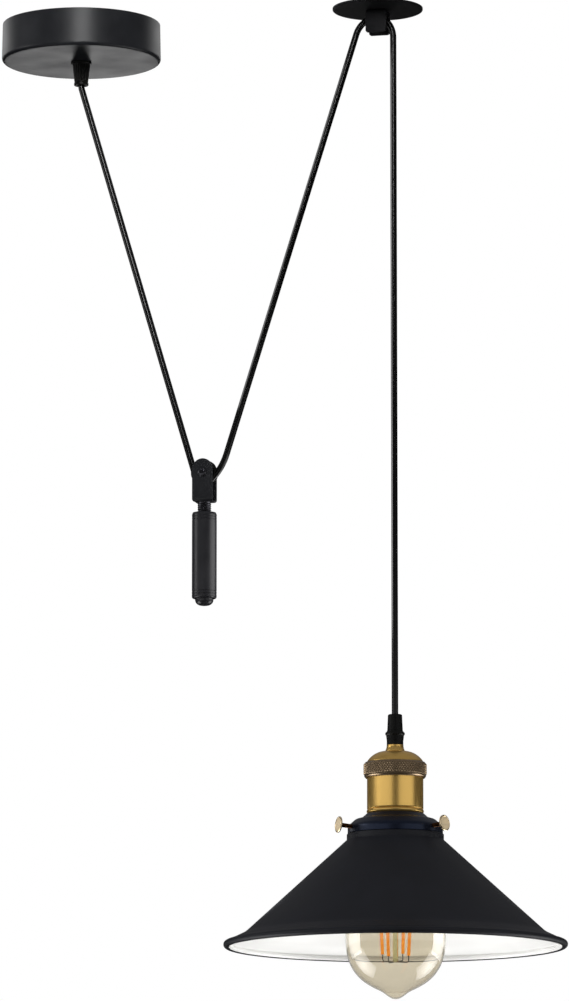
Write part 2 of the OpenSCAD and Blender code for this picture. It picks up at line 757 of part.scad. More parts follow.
// The neck: riveted through the fork's web and screwed into the weight
module weight_stud() {
    color(BLACK) translate([weight_x, 0, fork_foot_z]) {
        translate([0, 0, -neck_l - 12]) cylinder(h = neck_l + 12, d = neck_d);
        cylinder(h = fork_t, d = 6);
        translate([0, 0, fork_t]) cylinder(h = 0.9, d = 7.2);
        translate([0, 0, fork_t + 0.9]) cylinder(h = 0.5, d1 = 7.2, d2 = 5.8);
    }
}

module weight_cylinder() {
    e = 1.2;
    r = weight_d / 2;
    top = fork_foot_z - neck_l;
    color(BLACK) translate([weight_x, 0, top]) difference() {
        rotate_extrude() difference() {
            union() {
                translate([0, -weight_l + e]) square([r, weight_l - e]);
                translate([0, -weight_l]) square([r - e, e + 1]);
                translate([r - e, -weight_l + e]) circle(r = e);
            }
            for (z = [2.6, 4.4, weight_l - 4.9, weight_l - 3.1])
                translate([r - 0.25, -z - 0.5]) square([1, 0.5]);
            polygon([[r - 0.4, TINY], [r + 1, TINY], [r + 1, -1.4]]);
        }
        translate([0, 0, -13]) cylinder(h = 14, d = neck_d + 2 * TINY);
        translate([0, 0, -weight_l - 1]) cylinder(h = 11, d = 6 + 2 * TINY);
    }
}

module weight_end_button() {
    z = fork_foot_z - neck_l - weight_l;
    dome = (pow(button_d / 2, 2) + pow(button_h - 1, 2)) / (2 * (button_h - 1));
    color(BLACK) translate([weight_x, 0, z]) {
        intersection() {
            translate([0, 0, -button_h]) cylinder(h = button_h, d = button_d);
            translate([0, 0, dome - button_h]) sphere(r = dome, $fn = 96);
        }
        cylinder(h = 8, d = 6);
    }
}

// ---- Cord grip and lampholder ----

module lamp_cord_tail() {
    color(CORD) on_lamp() translate([0, 0, cap_z - 3.6])
        cylinder(h = lamp_grip_top_z - cap_z + 3.6, d = cord_d);
}

module lamp_grip_cap() {
    e = 1.4;
    top_r = lamp_cap_top_d / 2;
    color(NYLON) on_lamp() difference() {
        rotate_extrude() {
            polygon([[0, lamp_cap_z], [lamp_cap_foot_d / 2, lamp_cap_z],
                     [top_r, lamp_grip_top_z - e], [top_r - e, lamp_grip_top_z - e],
                     [top_r - e, lamp_grip_top_z], [0, lamp_grip_top_z]]);
            intersection() {
                translate([top_r - e, lamp_grip_top_z - e]) circle(r = e);
                translate([0, lamp_grip_top_z - e]) square([top_r, e]);
            }
        }
        translate([0, 0, lamp_cap_z - 1]) cylinder(h = lamp_cap_h + 2, r = groove_r);
        translate([0, 0, lamp_cap_z - 1]) cylinder(h = 5, r = 3.3 + seat_fit);
    }
}

// The grip's body: a stub in the cap, a ring, a waisted skirt and a threaded tail in the holder
module lamp_grip_body() {
    e = 0.7;
    r = lamp_ring_d / 2;
    tail_l = collar_h + brass_wall + 3.6;
    color(NYLON) on_lamp() difference() {
        rotate_extrude() {
            polygon([[0, grip_z], [5.35, grip_z], [5.7, lamp_ring_z], [r - e, lamp_ring_z],
                     [r, lamp_ring_z + e], [r, lamp_cap_z - 2 * e], [r - e, lamp_cap_z - e],
                     [5.2, lamp_cap_z - e], [5.2, lamp_cap_z], [3.3, lamp_cap_z],
                     [3.3, lamp_cap_z + 3.6], [0, lamp_cap_z + 3.6]]);
            translate([0, grip_z - tail_l]) square([lamp_tail_d / 2, tail_l]);
        }
        translate([0, 0, grip_z - 20]) cylinder(h = 60, r = groove_r);
    }
}

module grip_lock_nut() {
    color(BRASS) on_lamp() translate([0, 0, cap_z - brass_wall - lock_nut_h])
        hex_nut(lock_nut_af, lock_nut_h, lamp_tail_d + TINY);
}

// A short bush that flares out on to the cap
module brass_collar() {
    r = collar_d / 2;
    top_r = collar_top_d / 2;
    lip = 0.5;
    flare_z = cap_z + 0.7 * collar_h;
    color(BRASS) on_lamp() difference() {
        rotate_extrude() polygon(concat([[0, cap_z], [r, cap_z]],
            [for (i = [0:8]) cubic([[r, cap_z + lip], [r - 0.9, cap_z + lip + 0.2],
                                    [top_r, cap_z + 0.35 * collar_h], [top_r, flare_z]], i / 8)],
            [[top_r, cap_z + collar_h], [0, cap_z + collar_h]]));
        translate([0, 0, cap_z - 1]) cylinder(h = collar_h + 2, r = lamp_tail_d / 2 + seat_fit);
    }
}

// Outline of the cap down to the ring's joint, grown inward by t
module cap_outline(t) {
    c = [cap_flat_r, cap_z - cap_shoulder_r];
    foot = joint_z + cap_flange_h;
    r = cap_shoulder_r - t;
    edge_z = cap_z - cap_shoulder_r * (1 - sin(shoulder_a)) - t;
    translate([0, foot - 1]) square([shell_r - t, edge_z - foot + 1]);
    translate([0, c[1]]) square([cap_flat_r, r]);
    intersection() {
        translate(c) circle(r = r, $fn = 96);
        translate([0, foot]) square([shell_r - t, cap_z - foot]);
    }
}

module socket_cap() {
    color(BRASS) on_lamp() difference() {
        rotate_extrude($fn = 96) difference() {
            union() {
                cap_outline(0);
                translate([0, joint_z + TINY]) square([thread_r, cap_flange_h]);
            }
            cap_outline(brass_wall);
            translate([-1, joint_z - 3]) square([shell_r - brass_wall + 1, 6]);
        }
        translate([0, 0, cap_z - 2]) cylinder(h = 4, r = lamp_tail_d / 2 + seat_fit);
    }
}

// Ring of the union nut: a diamond knurl between two chamfers, as one closed surface.
// Ring k of a row is turned by half a diamond against the one above it.
module knurled_ring() {
    n = 2 * knurl_count;
    r_out = ring_d / 2;
    r_low = r_out - knurl_depth;
    r_lip = shell_r + seat_fit;
    r_bore = thread_r + seat_fit;
    chamfer = 1;
    z_top = ring_top_z;
    z_lip = ring_top_z - ring_lip_h;
    z_foot = ring_foot_z;
    k_top = z_top - chamfer;
    k_step = (ring_h - 2 * chamfer) / (2 * knurl_rows);
    outer = [for (k = [0:2 * knurl_rows]) [k, k_top - k * k_step]];
    rings = concat(
        [[for (i = [0:n - 1]) [r_bore, i, z_foot]], [for (i = [0:n - 1]) [r_bore, i, z_lip]],
         [for (i = [0:n - 1]) [r_lip, i, z_lip]], [for (i = [0:n - 1]) [r_lip, i, z_top]],
         [for (i = [0:n - 1]) [r_low - chamfer / 2, i, z_top]]],
        [for (o = outer) [for (i = [0:n - 1]) [(i + o[0]) % 2 == 0 ? r_out : r_low, i, o[1]]]],
        [[for (i = [0:n - 1]) [r_low - chamfer / 2, i, z_foot]]]);
    count = len(rings);
    points = [for (ring = rings) for (v = ring)
        [v[0] * cos(360 * v[1] / n), v[0] * sin(360 * v[1] / n), v[2]]];
    faces = [for (k = [0:count - 1]) for (i = [0:n - 1])
        let (j = (i + 1) % n, m = (k + 1) % count, a = k * n + i, b = k * n + j, c = m * n + i, d = m * n + j)
        for (f = (i + k) % 2 == 0 ? [[a, c, d], [a, d, b]] : [[a, c, b], [b, c, d]]) f];
    color(BRONZE) on_lamp() polyhedron(points, faces);
}

module socket_shell() {
    inner = shell_r - brass_wall;
    bead = bead_h / 2;
    color(BRASS) on_lamp() rotate_extrude($fn = 96) difference() {
        union() {
            translate([0, ring_foot_z + 0.4]) square([thread_r, joint_z - ring_foot_z - 0.4]);
            translate([0, bead_foot_z]) square([shell_r - 0.5, joint_z - bead_foot_z]);
            translate([0, bead_top_z]) square([shell_r, ring_foot_z + 0.4 - bead_top_z]);
            translate([shell_r - bead + 0.3, bead_foot_z + bead]) circle(r = bead);
            translate([0, shell_end_z]) square([neck_r, shell_neck_l + 1]);
        }
        translate([-1, bead_foot_z + brass_wall]) square([inner + 1, 60]);
        translate([-1, shell_end_z - 1]) square([neck_r - brass_wall + 1, 60]);
    }
}

// Radius of the bulb's thread at height z: round waves of one thread pitch
function thread_at(z) = base_r + thread_wave * cos(360 * (z - base_end_z) / thread_pitch);

module lampholder_core() {
    top = joint_z - 0.2;
    cavity = base_r + thread_wave + bulb_fit + sleeve_t + seat_fit;
    color(PORCELAIN) on_lamp() difference() {
        union() {
            translate([0, 0, shell_end_z + 0.6]) cylinder(h = top - shell_end_z - 0.6, r = core_r);
            translate([0, 0, bead_foot_z + brass_wall + 0.1])
                cylinder(h = top - bead_foot_z - brass_wall - 0.1, r = shell_r - brass_wall - seat_fit);
        }
        translate([0, 0, shell_end_z - 1]) cylinder(h = contact_z + 2 - shell_end_z, r = cavity);
        translate([0, 0, contact_z]) cylinder(h = 30, r = 1.2);
    }
}

// Two brass terminals with their screws, on top of the porcelain
module core_terminals() {
    top = joint_z - 0.2;
    color(BRASS) on_lamp() for (s = [-1, 1]) translate([s * 8.6, 0, top]) {
        difference() {
            translate([-2.4, -3.4, 0]) cube([4.8, 6.8, 5]);
            translate([0, 0, 2.6]) rotate([0, 90, 0]) cylinder(h = 10, d = 2.2, center = true);
            translate([0, 0, 2.6]) cylinder(h = 5, d = 2.6);
        }
        translate([0, 0, 3.9]) difference() {
            cylinder(h = 2, d = 2.5);
            translate([-2, -0.25, 1.2]) cube([4, 0.5, 2]);
        }
    }
}

module holder_leads() {
    top = joint_z - 0.2;
    color("#6b3f22") on_lamp() for (s = [-1, 1]) {
        wire_run([[s * 0.95, 0, cap_z - 3.6], [s * 0.95, 0, cap_z - 5],
                  [s * 4.6, s * 0.3, top + 2.6], [s * 6.8, s * 0.3, top + 2.6]], core_wire_d);
    }
}

// Thread wave between two heights, pushed out by a gap, as the points of a section
function wave(z0, z1, gap, steps) = [for (i = [0:steps]) let (z = z0 + (z1 - z0) * i / steps)
    [thread_at(z) + gap, z]];

module screw_contact() {
    steps = 36;
    inner = wave(sleeve_foot_z, sleeve_top_z, bulb_fit, steps);
    outer = wave(sleeve_top_z, sleeve_foot_z, bulb_fit + sleeve_t, steps);
    color(BRASS) on_lamp() rotate_extrude() polygon(concat(inner, outer));
}

module centre_contact() {
    color(BRASS) on_lamp() {
        translate([0, 0, contact_z + 0.1]) cylinder(h = 0.5, r = 3.6);
        translate([0, 0, contact_z + 0.5]) cylinder(h = 3, r = 1.1);
        translate([-5, -2, contact_z + 0.5]) cube([10, 4, 0.45]);
    }
}

// ---- Fitter and shade ----

// Half ring between two radii round a centre, cut to one quarter: sx and sz give its side
module quarter(c, r0, r1, sx, sz) {
    big = r1 + 1;
    intersection() {
        difference() {
            translate(c) circle(r = r1, $fn = 96);
            translate(c) circle(r = r0, $fn = 96);
        }
        translate([sx > 0 ? c[0] : c[0] - big, sz > 0 ? c[1] : c[1] - big]) square(big);
    }
}

module fitter_section() {
    t = shade_wall;
    throat_c = [throat_r0, throat_z - throat_lip_h];
    hole_r = neck_r + seat_fit;
    translate([shell_r - t, throat_z - throat_lip_h]) square([t, throat_lip_h]);
    quarter(throat_c, fitter_throat_r, fitter_throat_r + t, -1, -1);
    translate([throat_r0 - TINY, seat_z]) square([dome_r0 - throat_r0 + 2 * TINY, t]);
    quarter([dome_r0, dome_z], fitter_dome_r - t, fitter_dome_r, 1, 1);
    translate([fitter_r - t, skirt_z]) square([t, fitter_skirt_h]);
    translate([hole_r, seat_z]) square([throat_r0 - hole_r, t]);
    translate([hole_r, seat_z]) square([shell_r - hole_r, throat_z - seat_z]);
}

// Turns its children to a thumb screw's own frame: +X outward along the shank from the axis
module thumb_frame(a) {
    on_lamp() rotate([0, 0, a]) translate([fitter_r, 0, thumb_z]) rotate([0, -thumb_tilt, 0]) children();
}

module shade_fitter() {
    color(BLACK_GLOSS) difference() {
        on_lamp() rotate_extrude($fn = 96) fitter_section();
        for (a = THUMB_ANGLES) thumb_frame(a) rotate([0, 90, 0])
            cylinder(h = 8, r = thumb_shank_d / 2 + thumb_fit, center = true);
    }
}

module fitter_ring() {
    z = seat_z - 3.2;
    color(BLACK) on_lamp() difference() {
        union() {
            translate([0, 0, z]) cylinder(h = 3.2, r = neck_r + 3.4);
            translate([0, 0, z + 2]) cylinder(h = 1.2, r = neck_r + 5);
        }
        translate([0, 0, z - 1]) cylinder(h = 6, r = neck_r + TINY);
        for (a = [0:45:315]) rotate([0, 0, a]) translate([neck_r + 4.4, 0, z - 1]) cylinder(h = 2.9, r = 1.6);
    }
}

// Outside line of the shade from its collar to the rolled rim: a cone, a soft turn, a brim
function shade_line() =
    let (cone_end = [brim_r, brim_z], rim = [rim_r + 0.3, rim_z + rim_roll_d / 2 - 0.4],
         turn = 5, back = cone_end - turn * unit(cone_end - [collar_r, cone_z]),
         on = cone_end + turn * unit(rim - cone_end))
    concat([[collar_r, cone_z]],
           [for (i = [0:6]) cubic([back, cone_end, cone_end, on], i / 6)], [rim]);

function unit(v) = v / norm(v);

module shade_section() {
    t = shade_wall;
    line = shade_line();
    slope = unit([brim_r - collar_r, brim_z - cone_z]);
    brim = unit([rim_r + 0.3, rim_z + rim_roll_d / 2 - 0.4] - [brim_r, brim_z]);
    inward = [slope[1], -slope[0]] * t;
    down = [brim[1], -brim[0]] * t;
    n = len(line);
    inside = [for (i = [n - 1:-1:1]) let (u = (i - 1) / (n - 2)) line[i] + down * u + inward * (1 - u)];
    neck_out = [[shade_neck_r - t, lip_top_z], [shade_neck_r + 0.5, lip_top_z],
                [shade_neck_r + 0.5, lip_top_z - 0.8], [shade_neck_r, lip_top_z - 0.8],
                [shade_neck_r, collar_top_z], [collar_r, collar_top_z]];
    neck_in = [[collar_r - t, cone_z + inward[1] / 2], [collar_r - t, collar_top_z - t],
               [shade_neck_r - t, collar_top_z - t]];
    outline = concat(neck_out, line, inside, neck_in);
    polygon([for (i = [len(outline) - 1:-1:0]) outline[i]]);
    translate([rim_r, rim_z]) circle(d = rim_roll_d);
}

module shade() { color(BLACK) on_lamp() rotate_extrude($fn = 128) shade_section(); }

module thumb_screw(a) {
    tip = shade_neck_r + 0.3 - fitter_r;
    inner = tip + 1.2;
    head = (thumb_reach - fitter_r) / cos(thumb_tilt) - thumb_t / 2;
    color(PALE_BRASS) thumb_frame(a) rotate([0, 90, 0]) {
        translate([0, 0, tip]) cylinder(h = inner - tip + TINY, d = thumb_shank_d - 0.9);
        translate([0, 0, inner]) cylinder(h = head - inner, d = thumb_shank_d);
        translate([0, 0, head - 1.2]) cylinder(h = 1.2, d1 = thumb_shank_d, d2 = thumb_shank_d + 1.4);
        translate([0, 0, head]) cylinder(h = thumb_t / 2, d = thumb_d);
        translate([0, 0, head + thumb_t / 2]) cylinder(h = thumb_t / 2, d1 = thumb_d, d2 = thumb_d - 1);
    }
}

module thumb_screw_front_right() { thumb_screw(THUMB_ANGLES[0]); }

module thumb_screw_front_left() { thumb_screw(THUMB_ANGLES[1]); }

module thumb_screw_back() { thumb_screw(THUMB_ANGLES[2]); }

// ---- Bulb ----

module bulb_base() {
    steps = 40;
    thread_top = contact_z - 4.2;
    color(STEEL) on_lamp() difference() {
        rotate_extrude() {
            polygon(concat([[0, base_end_z]], wave(base_end_z, thread_top, 0, steps),
                           [[10, thread_top + 1.4], [6, thread_top + 2.6], [4.6, contact_z - 0.9],
                            [3.6, contact_z], [0, contact_z]]));
        }
        translate([0, 0, base_end_z - 1]) cylinder(h = base_h - 6, r = base_r - thread_wave - 0.5);
    }
}

// Outside line of the glass: a tail in the cap, neck, long flank, full shoulder and drawn tip
function glass_line(r) = let (d = r - bulb_r, neck = glass_neck_r + d, tail = 11.5 + d,
                              e = base_end_z - 0.1, wide_z = bulb_tip_z + 39, low = bulb_tip_z - d)
    concat([[tail, e + 6], [tail, e], [neck - 0.9, e - 0.4]],
           [for (i = [0:12]) cubic([[neck, e - 2], [neck, e - 18], [r, wide_z + 34], [r, wide_z]], i / 12)],
           [for (i = [1:10]) cubic([[r, wide_z], [r, wide_z - 24], [r * 0.56, low + 9.2],
                                    [r * 0.3, low + 5.2]], i / 10)],
           [for (i = [1:4]) cubic([[r * 0.3, low + 5.2], [r * 0.2, low + 3.6], [r * 0.12, low],
                                   [0, low]], i / 4)]);

module bulb_glass() {
    outer = glass_line(bulb_r);
    inner = glass_line(bulb_r - glass_t);
    color("#e8d2a8", 0.4) on_lamp() rotate_extrude($fn = 96)
        polygon(concat(outer, [for (i = [len(inner) - 1:-1:0]) inner[i]]));
}

// The glass mount: a flared foot sealed in the neck, and a rod down to the filament frame
module bulb_stem() {
    top = base_end_z - 2.1;
    foot_r = glass_neck_r - glass_t - 0.05;
    color("#dfe6ea", 0.5) on_lamp() rotate_extrude()
        polygon([[0, top], [foot_r, top], [foot_r - 2, top - 4], [4.4, top - 12], [3.4, top - 24],
                 [stem_root_r, top - 28], [stem_end_r, stem_end_z], [0, stem_end_z]]);
}

module bulb_filaments() {
    color("#f2a13a") on_lamp() for (k = [0:3]) rotate([0, 0, FILAMENT_TURN + 90 * k])
        wire([filament_foot_r, 0, filament_foot_z],
             [filament_top_r, 0, filament_foot_z + filament_l], filament_d);
}

// Fine wires that carry the filaments from the stem
module filament_frame() {
    wire_d = 0.7;
    low = filament_foot_z - 4.4;
    top = filament_foot_z + filament_l;
    color(STEEL) on_lamp() for (k = [0:3]) rotate([0, 0, FILAMENT_TURN + 90 * k]) {
        wire_run([[stem_end_r + 0.02, 0, low], [filament_foot_r, 0, low],
                  [filament_foot_r, 0, filament_foot_z]], wire_d);
        wire_run([[filament_top_r, 0, top], [filament_top_r, 0, top + 5],
                  [stem_root_r + 0.08, 0, top + 8]], wire_d);
    }
}

canopy_cup();
ceiling_bracket();
canopy_grub_screws();
terminal_block();
terminal_screws();
earth_screw();
canopy_leads();
canopy_cord_grip();
canopy_grip_nut();
pulley_plate();
ceiling_fork();
ceiling_stud();
ceiling_axle_pin();
ceiling_wheel();
cord_in_canopy();
cord_from_canopy();
cord_to_ceiling_pulley();
cord_over_ceiling_pulley();
cord_to_lamp();
weight_fork();
weight_axle_screw();
weight_axle_nut();
weight_wheel();
weight_stud();
weight_cylinder();
weight_end_button();
cord_round_weight_pulley();
lamp_cord_tail();
lamp_grip_cap();
lamp_grip_body();
grip_lock_nut();
brass_collar();
socket_cap();
knurled_ring();
socket_shell();
lampholder_core();
core_terminals();
holder_leads();
screw_contact();
centre_contact();
shade_fitter();
fitter_ring();
shade();
thumb_screw_front_left();
thumb_screw_front_right();
thumb_screw_back();
bulb_base();
bulb_glass();
bulb_stem();
bulb_filaments();
filament_frame();
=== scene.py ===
"""The looks of a rise and fall pendant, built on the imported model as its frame.

The object hangs from a ceiling rose and a ceiling pulley. Its cord runs down to a small
counterweight and back, and then down to a brass lampholder with a cone shade and a long
clear bulb. Lengths in this file are millimetres unless a name says otherwise; ``MM`` turns
them to Blender's metres. Every form is a grid of points worked out with numpy.
"""

import logging
import math
from dataclasses import dataclass, field
from enum import Enum
from functools import cached_property
from typing import Any, Callable, Mapping, Sequence

import bmesh
import bpy
import numpy as np
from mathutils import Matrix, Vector


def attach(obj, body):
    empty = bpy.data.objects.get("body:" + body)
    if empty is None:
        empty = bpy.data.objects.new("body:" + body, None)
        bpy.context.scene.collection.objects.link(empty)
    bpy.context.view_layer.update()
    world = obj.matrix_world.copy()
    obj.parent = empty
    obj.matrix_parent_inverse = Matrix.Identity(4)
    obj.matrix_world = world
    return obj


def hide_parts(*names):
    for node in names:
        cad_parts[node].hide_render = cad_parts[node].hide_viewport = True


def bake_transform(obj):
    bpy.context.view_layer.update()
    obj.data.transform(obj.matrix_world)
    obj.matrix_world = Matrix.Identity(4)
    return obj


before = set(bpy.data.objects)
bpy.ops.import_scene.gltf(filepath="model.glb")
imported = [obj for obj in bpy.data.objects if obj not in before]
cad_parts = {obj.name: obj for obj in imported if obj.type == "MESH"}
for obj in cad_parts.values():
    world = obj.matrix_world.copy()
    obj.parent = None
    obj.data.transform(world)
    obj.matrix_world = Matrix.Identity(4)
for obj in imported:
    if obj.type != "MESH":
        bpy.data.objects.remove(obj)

log = logging.getLogger("pendant")

Array = np.ndarray
Point = Sequence[float]
Relief = Callable[[Array, Array, Array], Array]
Socket = bpy.types.NodeSocket
Tree = bpy.types.NodeTree

MM = 0.001
TAU = 2 * math.pi
TOUCH = 1e-6  # Heights and radii closer than this count as equal.
CORD_BORE_R = 2.25  # Every bore and groove that the cord runs through.
CHEEK_GAP = 8.6  # Room between the cheeks of both forks.


class Body(str, Enum):
    """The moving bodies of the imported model."""

    CEILING = "ceiling"
    CEILING_WHEEL = "ceiling_pulley_wheel"
    COUNTERWEIGHT = "counterweight"
    WEIGHT_WHEEL = "counterweight_pulley_wheel"
    LAMP = "lamp"
    UNION_RING = "union_ring"
    THUMB_FRONT_LEFT = "thumb_front_left"
    THUMB_FRONT_RIGHT = "thumb_front_right"
    THUMB_BACK = "thumb_back"
    BULB = "bulb"


class Axis(Enum):
    """A direction that a turned form stands along."""

    UP = (0.0, 0.0, 1.0)
    BACK = (0.0, 1.0, 0.0)
    FRONT = (0.0, -1.0, 0.0)


# ---------------------------------------------------------------------------
# Curves and grids
# ---------------------------------------------------------------------------


def polar(centre: Point, radius: float, degrees: Array | float) -> Array:
    """Points at a radius and angle round a centre: centre + radius (cos a, sin a).

    Args:
        centre: Two coordinates.
        radius: Distance from the centre.
        degrees: One angle or an array of angles.

    Returns:
        Array of points, one per angle.
    """
    a = np.radians(degrees)
    return np.stack([centre[0] + radius * np.cos(a), centre[1] + radius * np.sin(a)], axis=-1)


def arc(centre: Point, radius: float, start: float, end: float, steps: int) -> Array:
    """An arc from the angle start to the angle end, in degrees, as steps + 1 points."""
    return polar(centre, radius, np.linspace(start, end, steps + 1))


def cubic(control: Sequence[Point], steps: int) -> Array:
    """A cubic curve: the four control points weighed by (1-t)^3, 3(1-t)^2 t, 3(1-t) t^2, t^3.

    Args:
        control: Four points.
        steps: Number of spans.

    Returns:
        Array of points.
    """
    t = np.linspace(0, 1, steps + 1)[:, None]
    s = 1 - t
    p = np.asarray(control, float)
    return s**3 * p[0] + 3 * s**2 * t * p[1] + 3 * s * t**2 * p[2] + t**3 * p[3]


def fillet(corners: Sequence[Point], closed: bool = False, steps: int = 5) -> Array:
    """A polyline whose corners are rounded.

    Each corner is (r, z, radius). Its arc touches both sides at radius / tan(half the corner's
    angle) from the corner, and is kept to a share of the shorter side.

    Args:
        corners: The corners in order, each with its own radius; 0 keeps it sharp.
        closed: True if the last corner joins the first.
        steps: Spans in each arc.

    Returns:
        Array of points (r, z).
    """
    side_share, straight = 0.48, 0.49 * math.pi
    c = np.asarray(corners, float)
    p, radius = c[:, :2], c[:, 2]
    count = len(p)
    out: list[Array] = []
    for i in range(count):
        if radius[i] <= 0 or (not closed and i in (0, count - 1)):
            out.append(p[i : i + 1])
            continue
        back, ahead = p[i - 1] - p[i], p[(i + 1) % count] - p[i]
        lb, la = np.linalg.norm(back), np.linalg.norm(ahead)
        back, ahead = back / lb, ahead / la
        half = 0.5 * math.acos(float(np.clip(back @ ahead, -1, 1)))
        if half > straight:
            out.append(p[i : i + 1])
            continue
        reach = min(radius[i] / math.tan(half), side_share * lb, side_share * la)
        r = reach * math.tan(half)
        middle = p[i] + (back + ahead) / np.linalg.norm(back + ahead) * (r / math.sin(half))
        a, b = p[i] + back * reach - middle, p[i] + ahead * reach - middle
        turn = math.atan2(a[0] * b[1] - a[1] * b[0], float(a @ b))
        t = np.linspace(0, turn, steps + 1)
        cos, sin = np.cos(t), np.sin(t)
        out.append(middle + np.stack([a[0] * cos - a[1] * sin, a[0] * sin + a[1] * cos], axis=-1))
    return np.concatenate(out)


def join(*runs: Any) -> Array:
    """Joins runs of points into one line and drops points that repeat the one before."""
    line = np.concatenate([np.atleast_2d(np.asarray(r, float)) for r in runs])
    step = np.linalg.norm(np.diff(line, axis=0), axis=1)
    return line[np.concatenate([[True], step > 1e-5])]


def dense(line: Array, gap: float) -> Array:
    """Adds points to a line so that no span is longer than gap."""
    length = np.linalg.norm(np.diff(line, axis=0), axis=1)
    spans = np.maximum(1, np.ceil(length / gap)).astype(int)
    parts = [
        a + (b - a) * (np.arange(n) / n)[:, None] for a, b, n in zip(line[:-1], line[1:], spans)
    ]
    return np.concatenate(parts + [line[-1:]])


def place(points: Array, origin: Point, axis: Point, turn: float = 0.0) -> Array:
    """Turns a form made round +Z so that +Z points along axis, and moves it to origin.

    Args:
        points: The form, with the last dimension of length 3.
        origin: Where the form's own origin goes.
        axis: Direction of the form's own +Z.
        turn: Turn round that axis first, in degrees.

    Returns:
        The placed points: origin + x u + y v + z w, with u, v, w square to each other.
    """
    w = np.asarray(axis, float) / np.linalg.norm(axis)
    hint = np.array([0.0, 0.0, 1.0]) if abs(w[2]) < 0.9 else np.array([1.0, 0.0, 0.0])
    u = np.cross(hint, w)
    u /= np.linalg.norm(u)
    v = np.cross(w, u)
    a = math.radians(turn)
    u, v = u * math.cos(a) + v * math.sin(a), v * math.cos(a) - u * math.sin(a)
    x, y, z = points[..., :1], points[..., 1:2], points[..., 2:]
    return np.asarray(origin, float) + x * u + y * v + z * w


def upright(points: Array, x: float) -> Array:
    """Places a form on an upright axis at x."""
    return place(points, (x, 0, 0), Axis.UP.value)


def turned(profile: Array, sides: int, relief: Relief | None = None) -> Array:
    """A turned form: each profile point (r, z) becomes the ring (r cos a, r sin a, z).

    Args:
        profile: Points (r, z), from axis to axis or round a closed section.
        sides: Points in each ring.
        relief: Gives the radius at (r, z, angle) where the form isn't round.

    Returns:
        Grid of points, profile points by sides.
    """
    a = np.linspace(0, TAU, sides, endpoint=False)[None, :]
    r = np.repeat(profile[:, :1], sides, axis=1)
    z = np.repeat(profile[:, 1:2], sides, axis=1)
    if relief is not None:
        r = relief(r, z, np.repeat(a, len(profile), axis=0))
    return np.stack([r * np.cos(a), r * np.sin(a), z], axis=-1)


def swept(path: Array, radius: float, sides: int, side: Point = Axis.BACK.value) -> Array:
    """A round tube along a path, closed at both ends.

    At each path point P with tangent t, b is the part of side square to t and n = b x t; the
    ring is P + radius (cos a n + sin a b). One point closes each end.

    Args:
        path: Points (x, y, z).
        radius: Radius of the tube.
        sides: Points in each ring.
        side: A direction that is never along the path.

    Returns:
        Grid of points.
    """
    t = np.gradient(path, axis=0)
    t /= np.linalg.norm(t, axis=1, keepdims=True)
    b = np.asarray(side, float) - t * (t @ np.asarray(side, float))[:, None]
    b /= np.linalg.norm(b, axis=1, keepdims=True)
    n = np.cross(b, t)
    a = np.linspace(0, TAU, sides, endpoint=False)[None, :, None]
    ring = path[:, None] + radius * (np.cos(a) * n[:, None] + np.sin(a) * b[:, None])
    cap = [np.repeat(path[i][None, None], sides, axis=1) for i in (0, -1)]
    return np.concatenate([cap[0], ring, cap[1]])


def smooth(x: Array) -> Array:
    """Smooth step: 0 below 0, 1 above 1, 3x^2 - 2x^3 between."""
    x = np.clip(x, 0, 1)
    return x * x * (3 - 2 * x)


def swell(a: Array) -> Array:
    """Half a cosine wave: 0 at a = 0, and 1 half a turn on."""
    return 0.5 - 0.5 * np.cos(a)


def thread(depth: float, pitch: float, low: float, high: float) -> Relief:
    """Relief of a screw thread: crests climb one pitch a turn, and valleys lie depth lower.

    Args:
        depth: Depth of the thread.
        pitch: Rise in one turn.
        low: Height where the thread starts.
        high: Height where it ends.

    Returns:
        A relief for turned().
    """
    run_out, steepness = 0.5 * pitch, 2.5

    def relief(r: Array, z: Array, a: Array) -> Array:
        """Radius less a rounded triangle wave of (z / pitch - a / turn), faded at both ends."""
        phase = (z / pitch - a / TAU) % 1.0
        wave = smooth(steepness * (0.5 - np.abs(phase - 0.5)))
        fade = smooth((z - low) / run_out) * smooth((high - z) / run_out)
        return r - depth * (1 - wave) * fade

    return relief


def hexagon(width: float, low: float, high: float) -> Relief:
    """Relief of a hexagon: the smaller of r and half the width / cos(angle to a flat).

    Args:
        width: Width across the flats.
        low: Lowest height of the hexagon.
        high: Highest height of the hexagon.

    Returns:
        A relief for turned().
    """

    def relief(r: Array, z: Array, a: Array) -> Array:
        """Radius cut to the hexagon where low <= z <= high."""
        flat = 0.5 * width / np.cos((a + math.pi / 6) % (math.pi / 3) - math.pi / 6)
        return np.where((z >= low - TOUCH) & (z <= high + TOUCH), np.minimum(r, flat), r)

    return relief


# ---------------------------------------------------------------------------
# Finishes
# ---------------------------------------------------------------------------


def linear(colour: str) -> tuple[float, float, float, float]:
    """An sRGB hex colour as linear RGBA."""
    c = np.array([int(colour[i : i + 2], 16) for i in (1, 3, 5)]) / 255
    c = np.where(c <= 0.04045, c / 12.92, ((c + 0.055) / 1.055) ** 2.4)
    return (float(c[0]), float(c[1]), float(c[2]), 1.0)


def add(
    tree: Tree, kind: str, inputs: Mapping[Any, Any] | None = None, **settings: Any
) -> bpy.types.Node:
    """Adds a node to a tree.

    Args:
        tree: The node tree.
        kind: Blender's name of the node type.
        inputs: Value or linked output socket for each input, by name or number.
        **settings: Other properties of the node.

    Returns:
        The new node.
    """
    node = tree.nodes.new(kind)
    for name, value in settings.items():
        setattr(node, name, value)
    for key, value in (inputs or {}).items():
        if isinstance(value, Socket):
            tree.links.new(value, node.inputs[key])
        else:
            node.inputs[key].default_value = value
    return node


